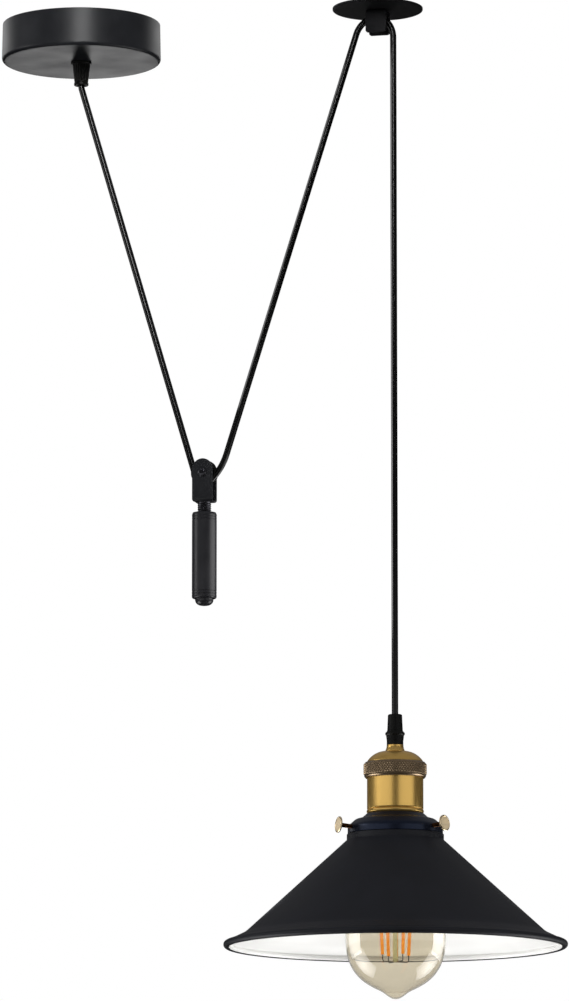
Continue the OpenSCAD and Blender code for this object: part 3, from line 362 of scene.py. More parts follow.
def ramp(tree: Tree, factor: Socket, stops: Sequence[tuple[float, Any]]) -> Socket:
    """A colour ramp over factor.

    Args:
        tree: The node tree.
        factor: Socket that drives the ramp.
        stops: Pairs of place and hex colour or grey level.

    Returns:
        The ramp's colour socket.
    """
    node = add(tree, "ShaderNodeValToRGB", {0: factor})
    elements = node.color_ramp.elements
    while len(elements) > 1:
        elements.remove(elements[-1])
    for i, (position, colour) in enumerate(stops):
        stop = elements[0] if i == 0 else elements.new(position)
        stop.position = position
        stop.color = linear(colour) if isinstance(colour, str) else (colour, colour, colour, 1.0)
    return node.outputs[0]


def calc(tree: Tree, operation: str, *values: Any) -> Socket:
    """One mathematical step over numbers or sockets."""
    return add(tree, "ShaderNodeMath", dict(enumerate(values)), operation=operation).outputs[0]


def mix(tree: Tree, factor: Any, first: Any, second: Any, blend: str = "MIX") -> Socket:
    """Mixes two colours.

    Args:
        tree: The node tree.
        factor: Share of the second colour.
        first: First colour or socket.
        second: Second colour or socket.
        blend: Blender's name of the blend.

    Returns:
        The mixed colour's socket.
    """
    inputs = {0: factor, 6: first, 7: second}
    return add(tree, "ShaderNodeMix", inputs, data_type="RGBA", blend_type=blend).outputs[2]


class Skin:
    """One material's tree and shader, with the steps that the finishes share."""

    def __init__(self, tree: Tree, shader: bpy.types.Node) -> None:
        """Keeps the tree and its shader."""
        self.tree, self.shader = tree, shader

    def put(self, **values: Any) -> None:
        """Sets shader inputs; a name is the input's own with _ for each space."""
        for name, value in values.items():
            self.shader.inputs[name.replace("_", " ")].default_value = value

    def spot(self, x: float = 1.0, y: float = 1.0, z: float = 1.0) -> Socket:
        """Object coordinates in millimetres, times a stretch for each axis."""
        where = add(self.tree, "ShaderNodeTexCoord").outputs["Object"]
        return self.scaled(where, (x / MM, y / MM, z / MM))

    def scaled(self, vector: Socket, scale: Point) -> Socket:
        """A vector times a scale, axis by axis."""
        inputs = {0: vector, 1: scale}
        return add(self.tree, "ShaderNodeVectorMath", inputs, operation="MULTIPLY").outputs[0]

    def noise(self, where: Socket, size: float, detail: float) -> Socket:
        """Noise whose spots are about size millimetres wide."""
        inputs = {"Vector": where, "Scale": 0.5 / size, "Detail": detail}
        return add(self.tree, "ShaderNodeTexNoise", inputs).outputs[0]

    def cells(self, where: Socket, scale: float) -> Socket:
        """Distance to the nearest of the points strewn with a density of scale a millimetre."""
        inputs = {"Vector": where, "Scale": scale}
        return add(self.tree, "ShaderNodeTexVoronoi", inputs).outputs[0]

    def vary(self, name: str, factor: Socket, *stops: tuple[float, Any]) -> None:
        """Lets a ramp over factor drive a shader input."""
        self.tree.links.new(ramp(self.tree, factor, stops), self.shader.inputs[name])

    def bump(self, height: Socket, depth: float) -> None:
        """Links a height of 0 to 1 as a bump, depth millimetres deep."""
        inputs = {"Strength": 1.0, "Distance": depth * MM, "Height": height}
        node = add(self.tree, "ShaderNodeBump", inputs)
        self.tree.links.new(node.outputs[0], self.shader.inputs["Normal"])


@dataclass(frozen=True)
class Finish:
    """A finish: its name, the record's slot it belongs to, and its plain shader values."""

    name: str
    slot: str
    colour: str
    roughness: float = 0.5

    def material(self) -> bpy.types.Material:
        """The material, made on first use."""
        found = bpy.data.materials.get(self.name)
        if found is not None:
            return found
        made = bpy.data.materials.new(self.name)
        made.use_nodes = True
        tree = made.node_tree
        tree.nodes.clear()
        plain = {"Base Color": linear(self.colour), "Roughness": self.roughness}
        shader = add(tree, "ShaderNodeBsdfPrincipled", plain)
        self.dress(Skin(tree, shader))
        add(tree, "ShaderNodeOutputMaterial", {"Surface": shader.outputs[0]})
        made.diffuse_color = linear(self.colour)
        return made

    def dress(self, skin: Skin) -> None:
        """Adds the pattern of this finish to the shader."""


@dataclass(frozen=True)
class PowderCoat(Finish):
    """Baked polyester powder on sheet steel. The melted grains leave an orange-peel skin of
    about 1 mm, so highlights are soft and slightly mottled."""

    roughness: float = 0.42
    peel: float = 0.9
    depth: float = 0.012
    pale: str = "#2a2b2f"
    gloss: float = 0.3

    def dress(self, skin: Skin) -> None:
        """Mottles colour and roughness over some centimetres and adds the peel as a bump."""
        where, rough = skin.spot(), self.roughness
        broad = skin.noise(where, 14, 3)
        skin.put(Specular_IOR_Level=self.gloss)
        skin.vary("Base Color", broad, (0.35, self.colour), (0.75, self.pale))
        skin.vary("Roughness", broad, (0.3, rough - 0.04), (0.7, rough + 0.05))
        skin.bump(skin.noise(where, self.peel, 2), self.depth)


@dataclass(frozen=True)
class Enamel(Finish):
    """Sprayed and stoved gloss enamel. It is smoother than powder, with a long faint wave, and
    the eye sees clean soft reflections in it."""

    roughness: float = 0.2
    wave: float = 5.0
    depth: float = 0.006
    shade: str = "#808080"
    tint: str = "#ffffff"

    def dress(self, skin: Skin) -> None:
        """Adds a slight change of tone, a tint of the sheen and a long wave in the surface."""
        where = skin.spot()
        skin.put(Specular_Tint=linear(self.tint))
        skin.vary("Base Color", skin.noise(where, 20, 2), (0.3, self.shade), (0.7, self.colour))
        skin.bump(skin.noise(where, self.wave, 1), self.depth)


@dataclass(frozen=True)
class Brass(Finish):
    """Brass, turned and brushed round its axis and then lacquered. The brushing is fine rings,
    so a highlight runs as an upright band, and the lacquer has aged a little browner."""

    roughness: float = 0.18
    aged: str = "#a8782c"
    ring: float = 0.35
    depth: float = 0.0012
    coat: float = 0.1

    def dress(self, skin: Skin) -> None:
        """Rings of noise along Z for the brushing; broad noise for the ageing."""
        skin.put(Metallic=1.0, Coat_Weight=self.coat, Coat_Roughness=0.12)
        brushed = skin.noise(skin.spot(0.03, 0.03), self.ring, 4)
        broad = skin.noise(skin.spot(), 6, 3)
        ageing = calc(skin.tree, "MULTIPLY_ADD", broad, 0.65, 0.0)
        both = calc(skin.tree, "MULTIPLY_ADD", brushed, 0.35, ageing)
        rough = self.roughness
        skin.vary("Base Color", both, (0.3, self.aged), (0.62, self.colour))
        skin.vary("Roughness", brushed, (0.3, rough - 0.04), (0.7, rough + 0.05))
        skin.bump(brushed, self.depth)


@dataclass(frozen=True)
class BronzedBrass(Finish):
    """Brass darkened in a bronzing bath and rubbed back. The rubbed points of the knurl are
    pale and smooth, and the valleys stay brown and dull."""

    roughness: float = 0.34
    valley: str = "#17120c"
    crest: str = "#f6ecd8"

    def dress(self, skin: Skin) -> None:
        """Colour and roughness follow the piece's own Wear value: 0 in a valley, 1 on a point."""
        skin.put(Metallic=1.0)
        wear = add(skin.tree, "ShaderNodeAttribute", attribute_name="Wear").outputs["Fac"]
        spots = skin.noise(skin.spot(), 1.4, 3)
        both = calc(skin.tree, "MULTIPLY_ADD", spots, 0.12, wear)
        stops = (0.28, self.valley), (0.5, self.colour), (0.74, self.crest)
        skin.vary("Base Color", both, *stops)
        skin.vary("Roughness", both, (0.2, 0.5), (0.9, self.roughness - 0.1))
        skin.bump(skin.noise(skin.spot(), 0.3, 2), 0.008)


@dataclass(frozen=True)
class Metal(Finish):
    """Steel or white metal with a thin plating or a blackened skin. The drawn or turned surface
    keeps fine scratches, and the skin has small cloudy spots."""

    roughness: float = 0.35
    cloud: str = "#808080"
    grain: float = 0.25
    depth: float = 0.006

    def dress(self, skin: Skin) -> None:
        """Cloudy tone over some millimetres and a fine grain as a bump."""
        where, rough = skin.spot(), self.roughness
        skin.put(Metallic=1.0)
        clouds = skin.noise(where, 3, 4)
        skin.vary("Base Color", clouds, (0.3, self.cloud), (0.7, self.colour))
        skin.vary("Roughness", clouds, (0.3, rough + 0.08), (0.7, rough - 0.06))
        skin.bump(skin.noise(where, self.grain, 2), self.depth)


@dataclass(frozen=True)
class Moulding(Finish):
    """Injection-moulded nylon from a spark-eroded tool: an even fine grain of about 0.3 mm and a
    soft sheen."""

    roughness: float = 0.45
    grain: float = 0.3
    depth: float = 0.01
    worn: str = "#24241f"

    def dress(self, skin: Skin) -> None:
        """Fine grain as a bump, and a faint paler bloom."""
        where, rough = skin.spot(), self.roughness
        skin.put(Specular_IOR_Level=0.12)
        bloom = skin.noise(where, 4, 3)
        skin.vary("Base Color", bloom, (0.4, self.colour), (0.8, self.worn))
        skin.vary("Roughness", bloom, (0.3, rough - 0.05), (0.7, rough + 0.06))
        skin.bump(skin.noise(where, self.grain, 1), self.depth)


@dataclass(frozen=True)
class Sheath(Finish):
    """Extruded soft PVC. The die leaves a smooth glossy skin with faint lines along the cord, and
    the cores inside press slow soft lumps through it. The real lines are some 0.05 mm wide, too
    fine to show, so they are drawn coarser and only change the gloss."""

    roughness: float = 0.24
    gloss: float = 0.33

    def dress(self, skin: Skin) -> None:
        """Lines along the cord from its UV map, which is in millimetres, and slow lumps."""
        skin.put(Specular_IOR_Level=self.gloss)
        uv, rough = add(skin.tree, "ShaderNodeUVMap", uv_map="UVMap").outputs[0], self.roughness
        lines, lumps = skin.scaled(uv, (1.0, 0.02, 1.0)), skin.scaled(uv, (0.25, 0.03, 1.0))
        fine = skin.noise(lines, 1.2, 1)
        skin.vary("Roughness", fine, (0.3, rough - 0.04), (0.7, rough + 0.06))
        skin.bump(skin.noise(lumps, 1.0, 1), 0.01)


@dataclass(frozen=True)
class Porcelain(Finish):
    """Steatite porcelain under a thin glaze: warm white, softly glossy, with pin-holes."""

    roughness: float = 0.25

    def dress(self, skin: Skin) -> None:
        """Warm clouding, a clear glaze coat and shallow pits."""
        where = skin.spot()
        skin.put(Coat_Weight=0.5, Coat_Roughness=0.1)
        skin.vary("Base Color", skin.noise(where, 5, 3), (0.3, "#ded8c8"), (0.7, self.colour))
        skin.bump(ramp(skin.tree, skin.cells(where, 0.6), [(0.0, 0.0), (0.12, 1.0)]), 0.02)


@dataclass(frozen=True)
class Glass(Finish):
    """Soda-lime glass, blown thin, with a faint tint from a metal film inside. It bends light a
    little, so the eye sees a dark outline and window-shaped highlights."""

    roughness: float = 0.0
    wave: float = 18.0
    depth: float = 0.05

    def dress(self, skin: Skin) -> None:
        """Clear transmission, with the slow waves of blown glass as a bump."""
        skin.put(Transmission_Weight=1.0, IOR=1.5)
        skin.bump(skin.noise(skin.spot(), self.wave, 1), self.depth)


@dataclass(frozen=True)
class Phosphor(Finish):
    """A row of small lamps under a silicone coat full of yellow phosphor. Off, it is a dull orange
    stick with soft grains. The bulb is off, so the glow it is given is painted light."""

    roughness: float = 0.6
    painted_glow: float = 0.5

    def dress(self, skin: Skin) -> None:
        """Beads every 1.6 mm along the stick, as tone and bump, and a painted glow as emission."""
        beads = skin.cells(skin.spot(), 0.62)
        skin.vary("Base Color", beads, (0.1, "#ffb344"), (0.7, self.colour))
        # Painted glow: the sticks emit light although the bulb is off.
        skin.put(Emission_Color=linear(self.colour), Emission_Strength=self.painted_glow)
        skin.bump(beads, 0.1)


class Palette:
    """Every finish of the pendant, by the record's material slots."""

    paint = PowderCoat("black_powder_coat", "black_paint", "#121316", pale="#1b1c1f")
    # A darker, duller copy of the black powder coat for the ceiling plate, fork and pin; its darker
    # colour is painted shade.
    shaded_dull_paint = PowderCoat(
        "shaded_dull_powder_coat", "black_paint", "#0c0c0e", roughness=0.5, pale="#121214", gloss=0.14
    )
    shade_outside = PowderCoat(
        "shade_powder_coat", "shade_paint", "#111216", roughness=0.5, pale="#16171c", gloss=0.2
    )
    shade_inside = Enamel(
        "shade_white_enamel", "shade_paint", "#e6e6e4", roughness=0.32, shade="#e0e0de"
    )
    gloss = Enamel(
        "fitter_gloss_enamel", "gloss_black_paint", "#080b14", roughness=0.34, shade="#06080e",
        tint="#a9bbea",
    )
    zinc = Metal("zinc_plated_steel", "zinc_steel", "#b4b6b6", roughness=0.34, cloud="#9da1a3")
    black_steel = Metal(
        "blackened_steel", "black_steel", "#55555a", roughness=0.36, cloud="#38383b"
    )
    iron = PowderCoat(
        "coated_iron", "black_iron", "#17171a", roughness=0.33, peel=0.6, pale="#202023", gloss=0.36
    )
    nylon = Moulding("moulded_nylon", "black_nylon", "#0a0a09", worn="#12120f")
    cord = Sheath("extruded_pvc", "black_cord", "#040404")
    core = Sheath("core_insulation", "core_insulation", "#6b3f22", roughness=0.4, gloss=0.4)
    porcelain = Porcelain("glazed_porcelain", "white_porcelain", "#efeae0")
    terminal = Brass(
        "terminal_brass", "terminal_brass", "#e2bb66", roughness=0.3, aged="#c79a48", coat=0.0
    )
    brass = Brass("lacquered_brass", "lacquered_brass", "#f1b038", aged="#b6811e")
    bronze = BronzedBrass("bronzed_brass", "bronzed_brass", "#6f675b")
    pale = Brass(
        "pale_turned_brass", "pale_brass", "#f6e2bd", roughness=0.36, aged="#ead0a2", coat=0.0
    )
    shank = Metal("browned_steel", "pale_brass", "#5a3a22", roughness=0.4, cloud="#38220f")
    cap_metal = Metal(
        "bulb_cap_alloy", "bulb_cap_metal", "#c9c3b4", roughness=0.3, cloud="#b5ae9d"
    )
    glass = Glass("amber_clear_glass", "bulb_glass", "#e9e3d5")
    stem_glass = Glass(
        "mount_glass", "stem_glass", "#d6d3a6", roughness=0.04, wave=3.0, depth=0.2
    )
    phosphor = Phosphor("filament_phosphor", "filament_coating", "#f79010")
    wire = Metal("nickel_wire", "frame_wire", "#6f6c66", roughness=0.3, cloud="#4c4a45")


# ---------------------------------------------------------------------------
# Pieces
# ---------------------------------------------------------------------------


@dataclass
class Grid:
    """One grid of points: rows along a profile or path, columns round it."""

    points: Array
    wrap_rows: bool
    finish: Array
    wear: Array | None


class Piece:
    """One object of the scene, collected as grids and then made into a mesh."""

    def __init__(self, name: str, *finishes: Finish) -> None:
        """Starts an empty piece with its finishes in slot order."""
        self.name = name
        self.finishes = finishes
        self.grids: list[Grid] = []

    def add(
        self,
        points: Array,
        wrap_rows: bool = False,
        finish: int | Array = 0,
        wear: Array | None = None,
    ) -> "Piece":
        """Adds a grid.

        Args:
            points: Rows x columns x 3; the last column joins the first.
            wrap_rows: True if the last row joins the first.
            finish: Number of the finish, for all faces or one per row of faces.
            wear: Wear of each point, from 0 to 1.

        Returns:
            The piece itself.
        """
        rows = len(points) if wrap_rows else len(points) - 1
        finishes = np.broadcast_to(np.asarray(finish), (rows,))
        self.grids.append(Grid(points, wrap_rows, finishes, wear))
        return self

    @staticmethod
    def _faces(grid: Grid) -> tuple[Array, Array]:
        """The grid's quads as corner numbers, and the UV of each corner in millimetres.

        U is the angle step times the mean width of the rows, V the length along the first column.
        Quads are turned round if the volume, the sum of p0 . (p1 x p2) / 6 over all triangles,
        is negative, so that all faces point outwards.
        """
        rows, cols = grid.points.shape[:2]
        r = np.arange(rows if grid.wrap_rows else rows - 1)
        i, j = np.meshgrid(r, np.arange(cols), indexing="ij")
        i2, j2 = (i + 1) % rows, (j + 1) % cols
        corners = [i * cols + j, i * cols + j2, i2 * cols + j2, i2 * cols + j]
        quads = np.stack(corners, axis=-1).reshape(-1, 4)
        closed = np.concatenate([grid.points, grid.points[:1]], axis=0)
        length = np.linalg.norm(np.diff(closed[:, 0], axis=0), axis=1)
        along = np.concatenate([[0.0], np.cumsum(length)])
        width = np.diff(grid.points, axis=1, append=grid.points[:, :1])
        step = np.linalg.norm(width, axis=2).mean()
        u, v = np.stack([j, j + 1, j + 1, j], -1) * step, along[np.stack([i, i, i + 1, i + 1], -1)]
        uv = np.stack([u, v], -1).reshape(-1, 4, 2)
        p = grid.points.reshape(-1, 3)
        q = (p - p.mean(0))[quads]
        halves = np.cross(q[:, 1], q[:, 2]) + np.cross(q[:, 2], q[:, 3])
        if np.einsum("ij,ij->", q[:, 0], halves) < 0:
            quads, uv = quads[:, ::-1], uv[:, ::-1]
        return quads, uv

    def _mesh(self) -> bpy.types.Mesh:
        """The collected grids as one mesh, with UV map, wear and materials."""
        points, quads, uvs, finish, wear = [], [], [], [], []
        offset = 0
        for grid in self.grids:
            face, uv = self._faces(grid)
            points.append(grid.points.reshape(-1, 3))
            quads.append(face + offset)
            uvs.append(uv)
            finish.append(np.repeat(grid.finish, grid.points.shape[1]))
            size = len(points[-1])
            wear.append(np.zeros(size) if grid.wear is None else grid.wear.reshape(-1))
            offset += size
        mesh = bpy.data.meshes.new(self.name)
        co, face = np.concatenate(points) * MM, np.concatenate(quads)
        starts = np.arange(0, face.size, 4, dtype=np.int32)
        mesh.vertices.add(len(co))
        mesh.vertices.foreach_set("co", co.astype(np.float32).reshape(-1))
        mesh.loops.add(face.size)
        mesh.loops.foreach_set("vertex_index", face.reshape(-1).astype(np.int32))
        mesh.polygons.add(len(face))
        mesh.polygons.foreach_set("loop_start", starts)
        mesh.polygons.foreach_set("material_index", np.concatenate(finish).astype(np.int32))
        mesh.update(calc_edges=True)
        layer = mesh.uv_layers.new(name="UVMap")
        layer.data.foreach_set("uv", np.concatenate(uvs).astype(np.float32).reshape(-1))
        if any(g.wear is not None for g in self.grids):
            value = mesh.attributes.new("Wear", "FLOAT", "POINT")
            value.data.foreach_set("value", np.concatenate(wear).astype(np.float32))
        for item in self.finishes:
            mesh.materials.append(item.material())
        return mesh

    @staticmethod
    def _clean(mesh: bpy.types.Mesh, sharp: float) -> None:
        """Welds points at one place, drops empty faces, and shades smooth up to an angle."""
        work = bmesh.new()
        work.from_mesh(mesh)
        bmesh.ops.remove_doubles(work, verts=work.verts, dist=2e-7)
        bmesh.ops.dissolve_degenerate(work, edges=work.edges, dist=1e-8)
        work.to_mesh(mesh)
        work.free()
        mesh.polygons.foreach_set("use_smooth", np.ones(len(mesh.polygons), bool))
        mesh.set_sharp_from_angle(angle=math.radians(sharp))
        mesh.update()

    def make(self, body: Body | None, *nodes: str, sharp: float = 34.0) -> bpy.types.Object:
        """Makes the object, lets it ride on its body and stand for its CAD nodes.

        Args:
            body: The body that carries the piece, or None for none.
            *nodes: CAD nodes that the piece stands for.
            sharp: Edges with a larger angle than this, in degrees, stay sharp.

        Returns:
            The new object, at the origin with its place in its mesh.
        """
        mesh = self._mesh()
        self._clean(mesh, sharp)
        made = bpy.data.objects.new(self.name, mesh)
        bpy.context.scene.collection.objects.link(made)
        if nodes:
            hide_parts(*nodes)
        if body is not None:
            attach(made, body.value)
        carrier = body.value if body else "bends"
        log.info("%s: %d faces, %s", self.name, len(mesh.polygons), carrier)
        return made


def make_pieces(
    body: Body, rows: Mapping[str, tuple[Finish, Array, str]], wrap_rows: bool = True
) -> None:
    """Makes several pieces of one grid each on one body.

    Args:
        body: The body that carries them.
        rows: By piece name, the finish, the grid and the CAD node that it stands for.
        wrap_rows: True if each grid's last row joins its first.
    """
    for name, (finish, form, node) in rows.items():
        Piece(name, finish).add(form, wrap_rows=wrap_rows).make(body, node)


def dress_nodes(finishes: Mapping[str, Finish]) -> None:
    """Gives CAD nodes that stay in the scene their finishes."""
    for node, finish in finishes.items():
        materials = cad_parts[node].data.materials
        materials.clear()
        materials.append(finish.material())
        log.info("%s: CAD solid, %s", node, finish.name)


# ---------------------------------------------------------------------------
# Cord
# ---------------------------------------------------------------------------


@dataclass(frozen=True)
class Route:
    """Places of the cord, the wheels and the lamp, from the part's named sizes.

    Points of the cord's plane are (x, z). Angles are degrees from +X towards +Z. A reach is
    how far a strand runs from the axle that its free bend turns round.
    """

    cord_d: float = 4.2
    pulley_x: float = 201.0
    weight_x: float = 84.6
    weight_drop: float = 303.5
    plate_t: float = 1.6
    fork_t: float = 1.6
    fork_clear: float = 0.3
    ceiling_pitch_r: float = 5.0
    weight_pitch_r: float = 6.2
    ceiling_bend_r: float = 16.0
    weight_bend_r: float = 40.0
    mouth_bend_r: float = 12.0
    lamp_reach: float = 10.35
    slant_reach: float = 11.84
    weight_reach: float = 10.4
    sheath_end_z: float = -12.0
    rose_mouth_z: float = -41.0
    rose_exit_z: float = -38.5
    lamp_grip_top_z: float = -465.1
    tail_end_z: float = -492.6
    span: float = 14.0

    @cached_property
    def ceiling_axle(self) -> Array:
        """Axle of the ceiling wheel."""
        drop = self.plate_t + self.fork_t + self.fork_clear + self.ceiling_pitch_r + self.cord_d / 2
        return np.array([self.pulley_x, -drop])

    @cached_property
    def weight_axle(self) -> Array:
        """Axle of the counterweight's wheel."""
        return np.array([self.weight_x, -self.weight_drop])

    @cached_property
    def lamp_x(self) -> float:
        """The lampholder's axis."""
        return self.pulley_x + self.lamp_reach

    @cached_property
    def mouth_bend(self) -> Array:
        """Centre of the bend in the mouth of the rose's grip."""
        return np.array([self.mouth_bend_r, self.rose_mouth_z + 0.7])

    @cached_property
    def lean_b(self) -> float:
        """Angle of the slanting strand from the vertical."""
        span = self.ceiling_axle - self.weight_axle
        tilt = math.asin((self.weight_reach + self.slant_reach) / float(np.linalg.norm(span)))
        return math.degrees(math.atan2(span[0], span[1]) - tilt)

    @cached_property
    def lean_a(self) -> float:
        """Angle of the strand from the rose, from the vertical."""
        span = self.weight_axle - self.mouth_bend
        tilt = math.asin((self.mouth_bend_r - self.weight_pitch_r) / float(np.linalg.norm(span)))
        return math.degrees(math.atan2(span[0], -span[1]) + tilt)

    @staticmethod
    def _bend_angle(bend_r: float, reach: float, pitch_r: float) -> float:
        """Angle of a free bend beside a wheel: acos of (bend - reach) / (bend - pitch)."""
        return math.degrees(math.acos((bend_r - reach) / (bend_r - pitch_r)))

    @cached_property
    def over(self) -> tuple[float, float]:
        """Angles where the cord meets and leaves the ceiling wheel."""
        lamp = self._bend_angle(self.ceiling_bend_r, self.lamp_reach, self.ceiling_pitch_r)
        slant = self._bend_angle(self.ceiling_bend_r, self.slant_reach, self.ceiling_pitch_r)
        return lamp, 180 - self.lean_b - slant

    @cached_property
    def under(self) -> tuple[float, float]:
        """Angles where the cord meets and leaves the counterweight's wheel."""
        free = self._bend_angle(self.weight_bend_r, self.weight_reach, self.weight_pitch_r)
        return -180 + self.lean_a, -self.lean_b - free

    def from_rose(self) -> Array:
        """Sheath end in the rose, the mouth's bend, and straight down to the weight's wheel."""
        mouth = arc(self.mouth_bend, self.mouth_bend_r, 180, 180 + self.lean_a, 8)
        foot = polar(self.weight_axle, self.weight_pitch_r, self.under[0])
        return dense(join([[0, self.sheath_end_z]], mouth, [foot]), self.span)

    def round_weight(self) -> Array:
        """Round the counterweight's wheel and into the free bend beside it."""
        start, end = self.under
        centre = polar(self.weight_axle, self.weight_pitch_r - self.weight_bend_r, end)
        wheel = arc(self.weight_axle, self.weight_pitch_r, start, end, 26)
        return join(wheel, arc(centre, self.weight_bend_r, end, -self.lean_b, 14))

    def slant(self) -> Array:
        """Straight up from the counterweight to the ceiling pulley."""
        return dense(np.array([self.round_weight()[-1], self.over_ceiling()[0]]), self.span)

    def over_ceiling(self) -> Array:
        """Free bend, over the ceiling wheel, and free bend down to the lamp."""
        meet, leave = self.over
        reach = self.ceiling_pitch_r - self.ceiling_bend_r
        slant = polar(self.ceiling_axle, reach, leave)
        lamp = polar(self.ceiling_axle, reach, meet)
        return join(
            arc(slant, self.ceiling_bend_r, 180 - self.lean_b, leave, 14),
            arc(self.ceiling_axle, self.ceiling_pitch_r, leave, meet, 8),
            arc(lamp, self.ceiling_bend_r, meet, 0, 14),
        )

    def to_lamp(self) -> Array:
        """Straight down to the lamp's grip and into the holder."""
        grip, end = [self.lamp_x, self.lamp_grip_top_z], [self.lamp_x, self.tail_end_z]
        return dense(np.array([self.over_ceiling()[-1], grip, end]), self.span)


@dataclass
class Cord:
    """The flexible cord in five runs: the two round the wheels ride on their bodies, the three
    straight ones on none.
    """

    route: Route
    sides: int = 32
    finish: Finish = Palette.cord

    def _run(
        self, name: str, line: Array, exit_at: Point, body: Body | None, *nodes: str
    ) -> tuple[bpy.types.Object, Array]:
        """Args:
            name: Name of the piece.
            line: Points (x, z) of its centre line.
            exit_at: Point (x, z) where it leaves what holds it; not used.
            body: The body that carries it, or None.
            *nodes: CAD nodes it stands for.

        Returns:
            The piece and its path in metres.
        """
        path = np.stack([line[:, 0], np.zeros(len(line)), line[:, 1]], axis=1)
        tube = swept(path, self.route.cord_d / 2, self.sides)
        piece = Piece(name, self.finish).add(tube).make(body, *nodes)
        return piece, path * MM

    def build(self) -> None:
        """Makes the five runs; the straight ones are baked where they are made and ride on no body.
        """
        route = self.route
        exit_at = (0, route.rose_exit_z)
        nodes = "cord_in_canopy", "cord_from_canopy"
        piece, path = self._run("cord_from_rose", route.from_rose(), exit_at, None, *nodes)
        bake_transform(piece)
        around, node = route.round_weight(), "cord_round_weight_pulley"
        self._run("cord_round_weight", around, around[0], Body.COUNTERWEIGHT, node)
        slant = route.slant()
        piece, path = self._run("cord_slant", slant, slant[-1], None, "cord_to_ceiling_pulley")
        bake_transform(piece)
        over = route.over_ceiling()
        self._run("cord_over_pulley", over, over[0], Body.CEILING, "cord_over_ceiling_pulley")
        drop, nodes = route.to_lamp(), ("cord_to_lamp", "lamp_cord_tail")
        piece, path = self._run("cord_lamp_drop", drop, drop[0], None, *nodes)
        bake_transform(piece)


# ---------------------------------------------------------------------------
# Ceiling rose
# ---------------------------------------------------------------------------


@dataclass
class CeilingRose:
    """The round steel rose, its grub screws, bracket, wiring and cord grip."""

    diameter: float = 105.0
    height: float = 25.0
    wall: float = 1.0
    draft: float = 1.0
    edge_r: float = 2.2
    tail_d: float = 9.9
    tail_top_z: float = -19.6
    grub_z: float = 8.0
    grub_d: float = 3.0
    grub_l: float = 4.4
    grub_sunk: float = 0.12
    socket_af: float = 1.3
    socket_depth: float = 1.2
    flange_d: float = 13.4
    flange_h: float = 1.4
    body_h: float = 12.6
    body_top_d: float = 11.6
    body_mouth_d: float = 9.0
    rim_h: float = 2.0
    ribs: int = 22
    rib_depth: float = 0.32
    rib_narrowing: float = 1.6
    rib_fade: float = 0.7

    def cup(self) -> Array:
        """Pressed cup: wall of even thickness, rounded lower edge, hole in the middle."""
        r, top, hole = self.diameter / 2, (self.diameter - self.draft) / 2, self.tail_d / 2 + 0.1
        z, t, e = -self.height, self.wall, self.edge_r
        section = [
            (top, 0, 0.2), (r, z, e), (hole, z, 0.15), (hole, z + t, 0.15),
            (r - t, z + t, e - t), (top - t, 0, 0.2),
        ]
        return turned(dense(fillet(section, closed=True, steps=8), 1.5), 256)

    def grip(self) -> Array:
        """Cord grip: flange, ribbed taper, rim and flared mouth, with a threaded tail above.

        The ribs lower the radius by half a cosine of the angle, between flange and rim.
        """
        bore, tail, flange, top = CORD_BORE_R, self.tail_d / 2, self.flange_d / 2, -self.height
        z0 = top - self.flange_h
        z1 = z0 - self.body_h
        foot = z1 - self.rim_h
        top_r, mouth_r = self.body_top_d / 2, self.body_mouth_d / 2
        rim_r = mouth_r + 0.3
        outside = [
            (bore, self.tail_top_z, 0), (tail, self.tail_top_z, 0.4), (tail, top, 0),
            (flange, top, 0.25), (flange, z0, 0.45), (top_r, z0, 0.2), (mouth_r, z1, 0.2),
            (rim_r, z1 - 0.3, 0.25), (rim_r, foot + 0.5, 0.3), (mouth_r - 0.1, foot, 0.25),
            (bore + 1, foot, 0.3), (bore, foot + 3.4, 0.5),
        ]
        low, high, outer_from = z1 + 0.4, z0 - 0.5, 4.0

        def relief(r: Array, z: Array, a: Array) -> Array:
            """Radius less the ribs, where the point is on the tapered outside."""
            on = smooth((z - low) / self.rib_fade) * smooth((high - z) / self.rib_fade)
            wave = swell(self.ribs * a) ** self.rib_narrowing
            return r - self.rib_depth * on * (r > outer_from) * wave

        return turned(dense(fillet(outside), 0.5), 264, relief)

    def grub(self, side: int) -> Array:
        """Grub screw with a hexagon socket, along X on one side."""
        depth, r, end = self.socket_depth, self.grub_d / 2, -self.grub_l
        section = np.array(
            [
                [0, -depth], [0.4, -depth], [0.75, -depth], [0.75, -0.1], [0.9, 0],
                [r - 0.25, 0], [r, -0.25], [r, end + 0.3], [r - 0.3, end], [0, end],
            ]
        )
        form = turned(section, 48, hexagon(self.socket_af, -depth, -0.1))
        lean = 0.5 * self.draft * (1 - self.grub_z / self.height)
        outer = self.diameter / 2 - lean - self.grub_sunk
        return place(form, (side * outer, 0, -self.grub_z), (side, 0, 0))

    def build(self) -> None:
        """Makes the visible pieces and dresses the solids inside the rose."""
        make_pieces(Body.CEILING, {"rose_cup": (Palette.paint, self.cup(), "canopy_cup")})
        screws = Piece("rose_grub_screws", Palette.black_steel).add(self.grub(1)).add(self.grub(-1))
        screws.make(Body.CEILING, "canopy_grub_screws")
        grip = (Palette.nylon, self.grip(), "canopy_cord_grip")
        make_pieces(Body.CEILING, {"rose_cord_grip": grip})
        dress_nodes(
            {
                "ceiling_bracket": Palette.zinc,
                "terminal_block": Palette.porcelain,
                "terminal_screws": Palette.terminal,
                "earth_screw": Palette.terminal,
                "canopy_leads": Palette.core,
                "canopy_grip_nut": Palette.nylon,
            }
        )


# ---------------------------------------------------------------------------
# Forks, wheels and axles
# ---------------------------------------------------------------------------


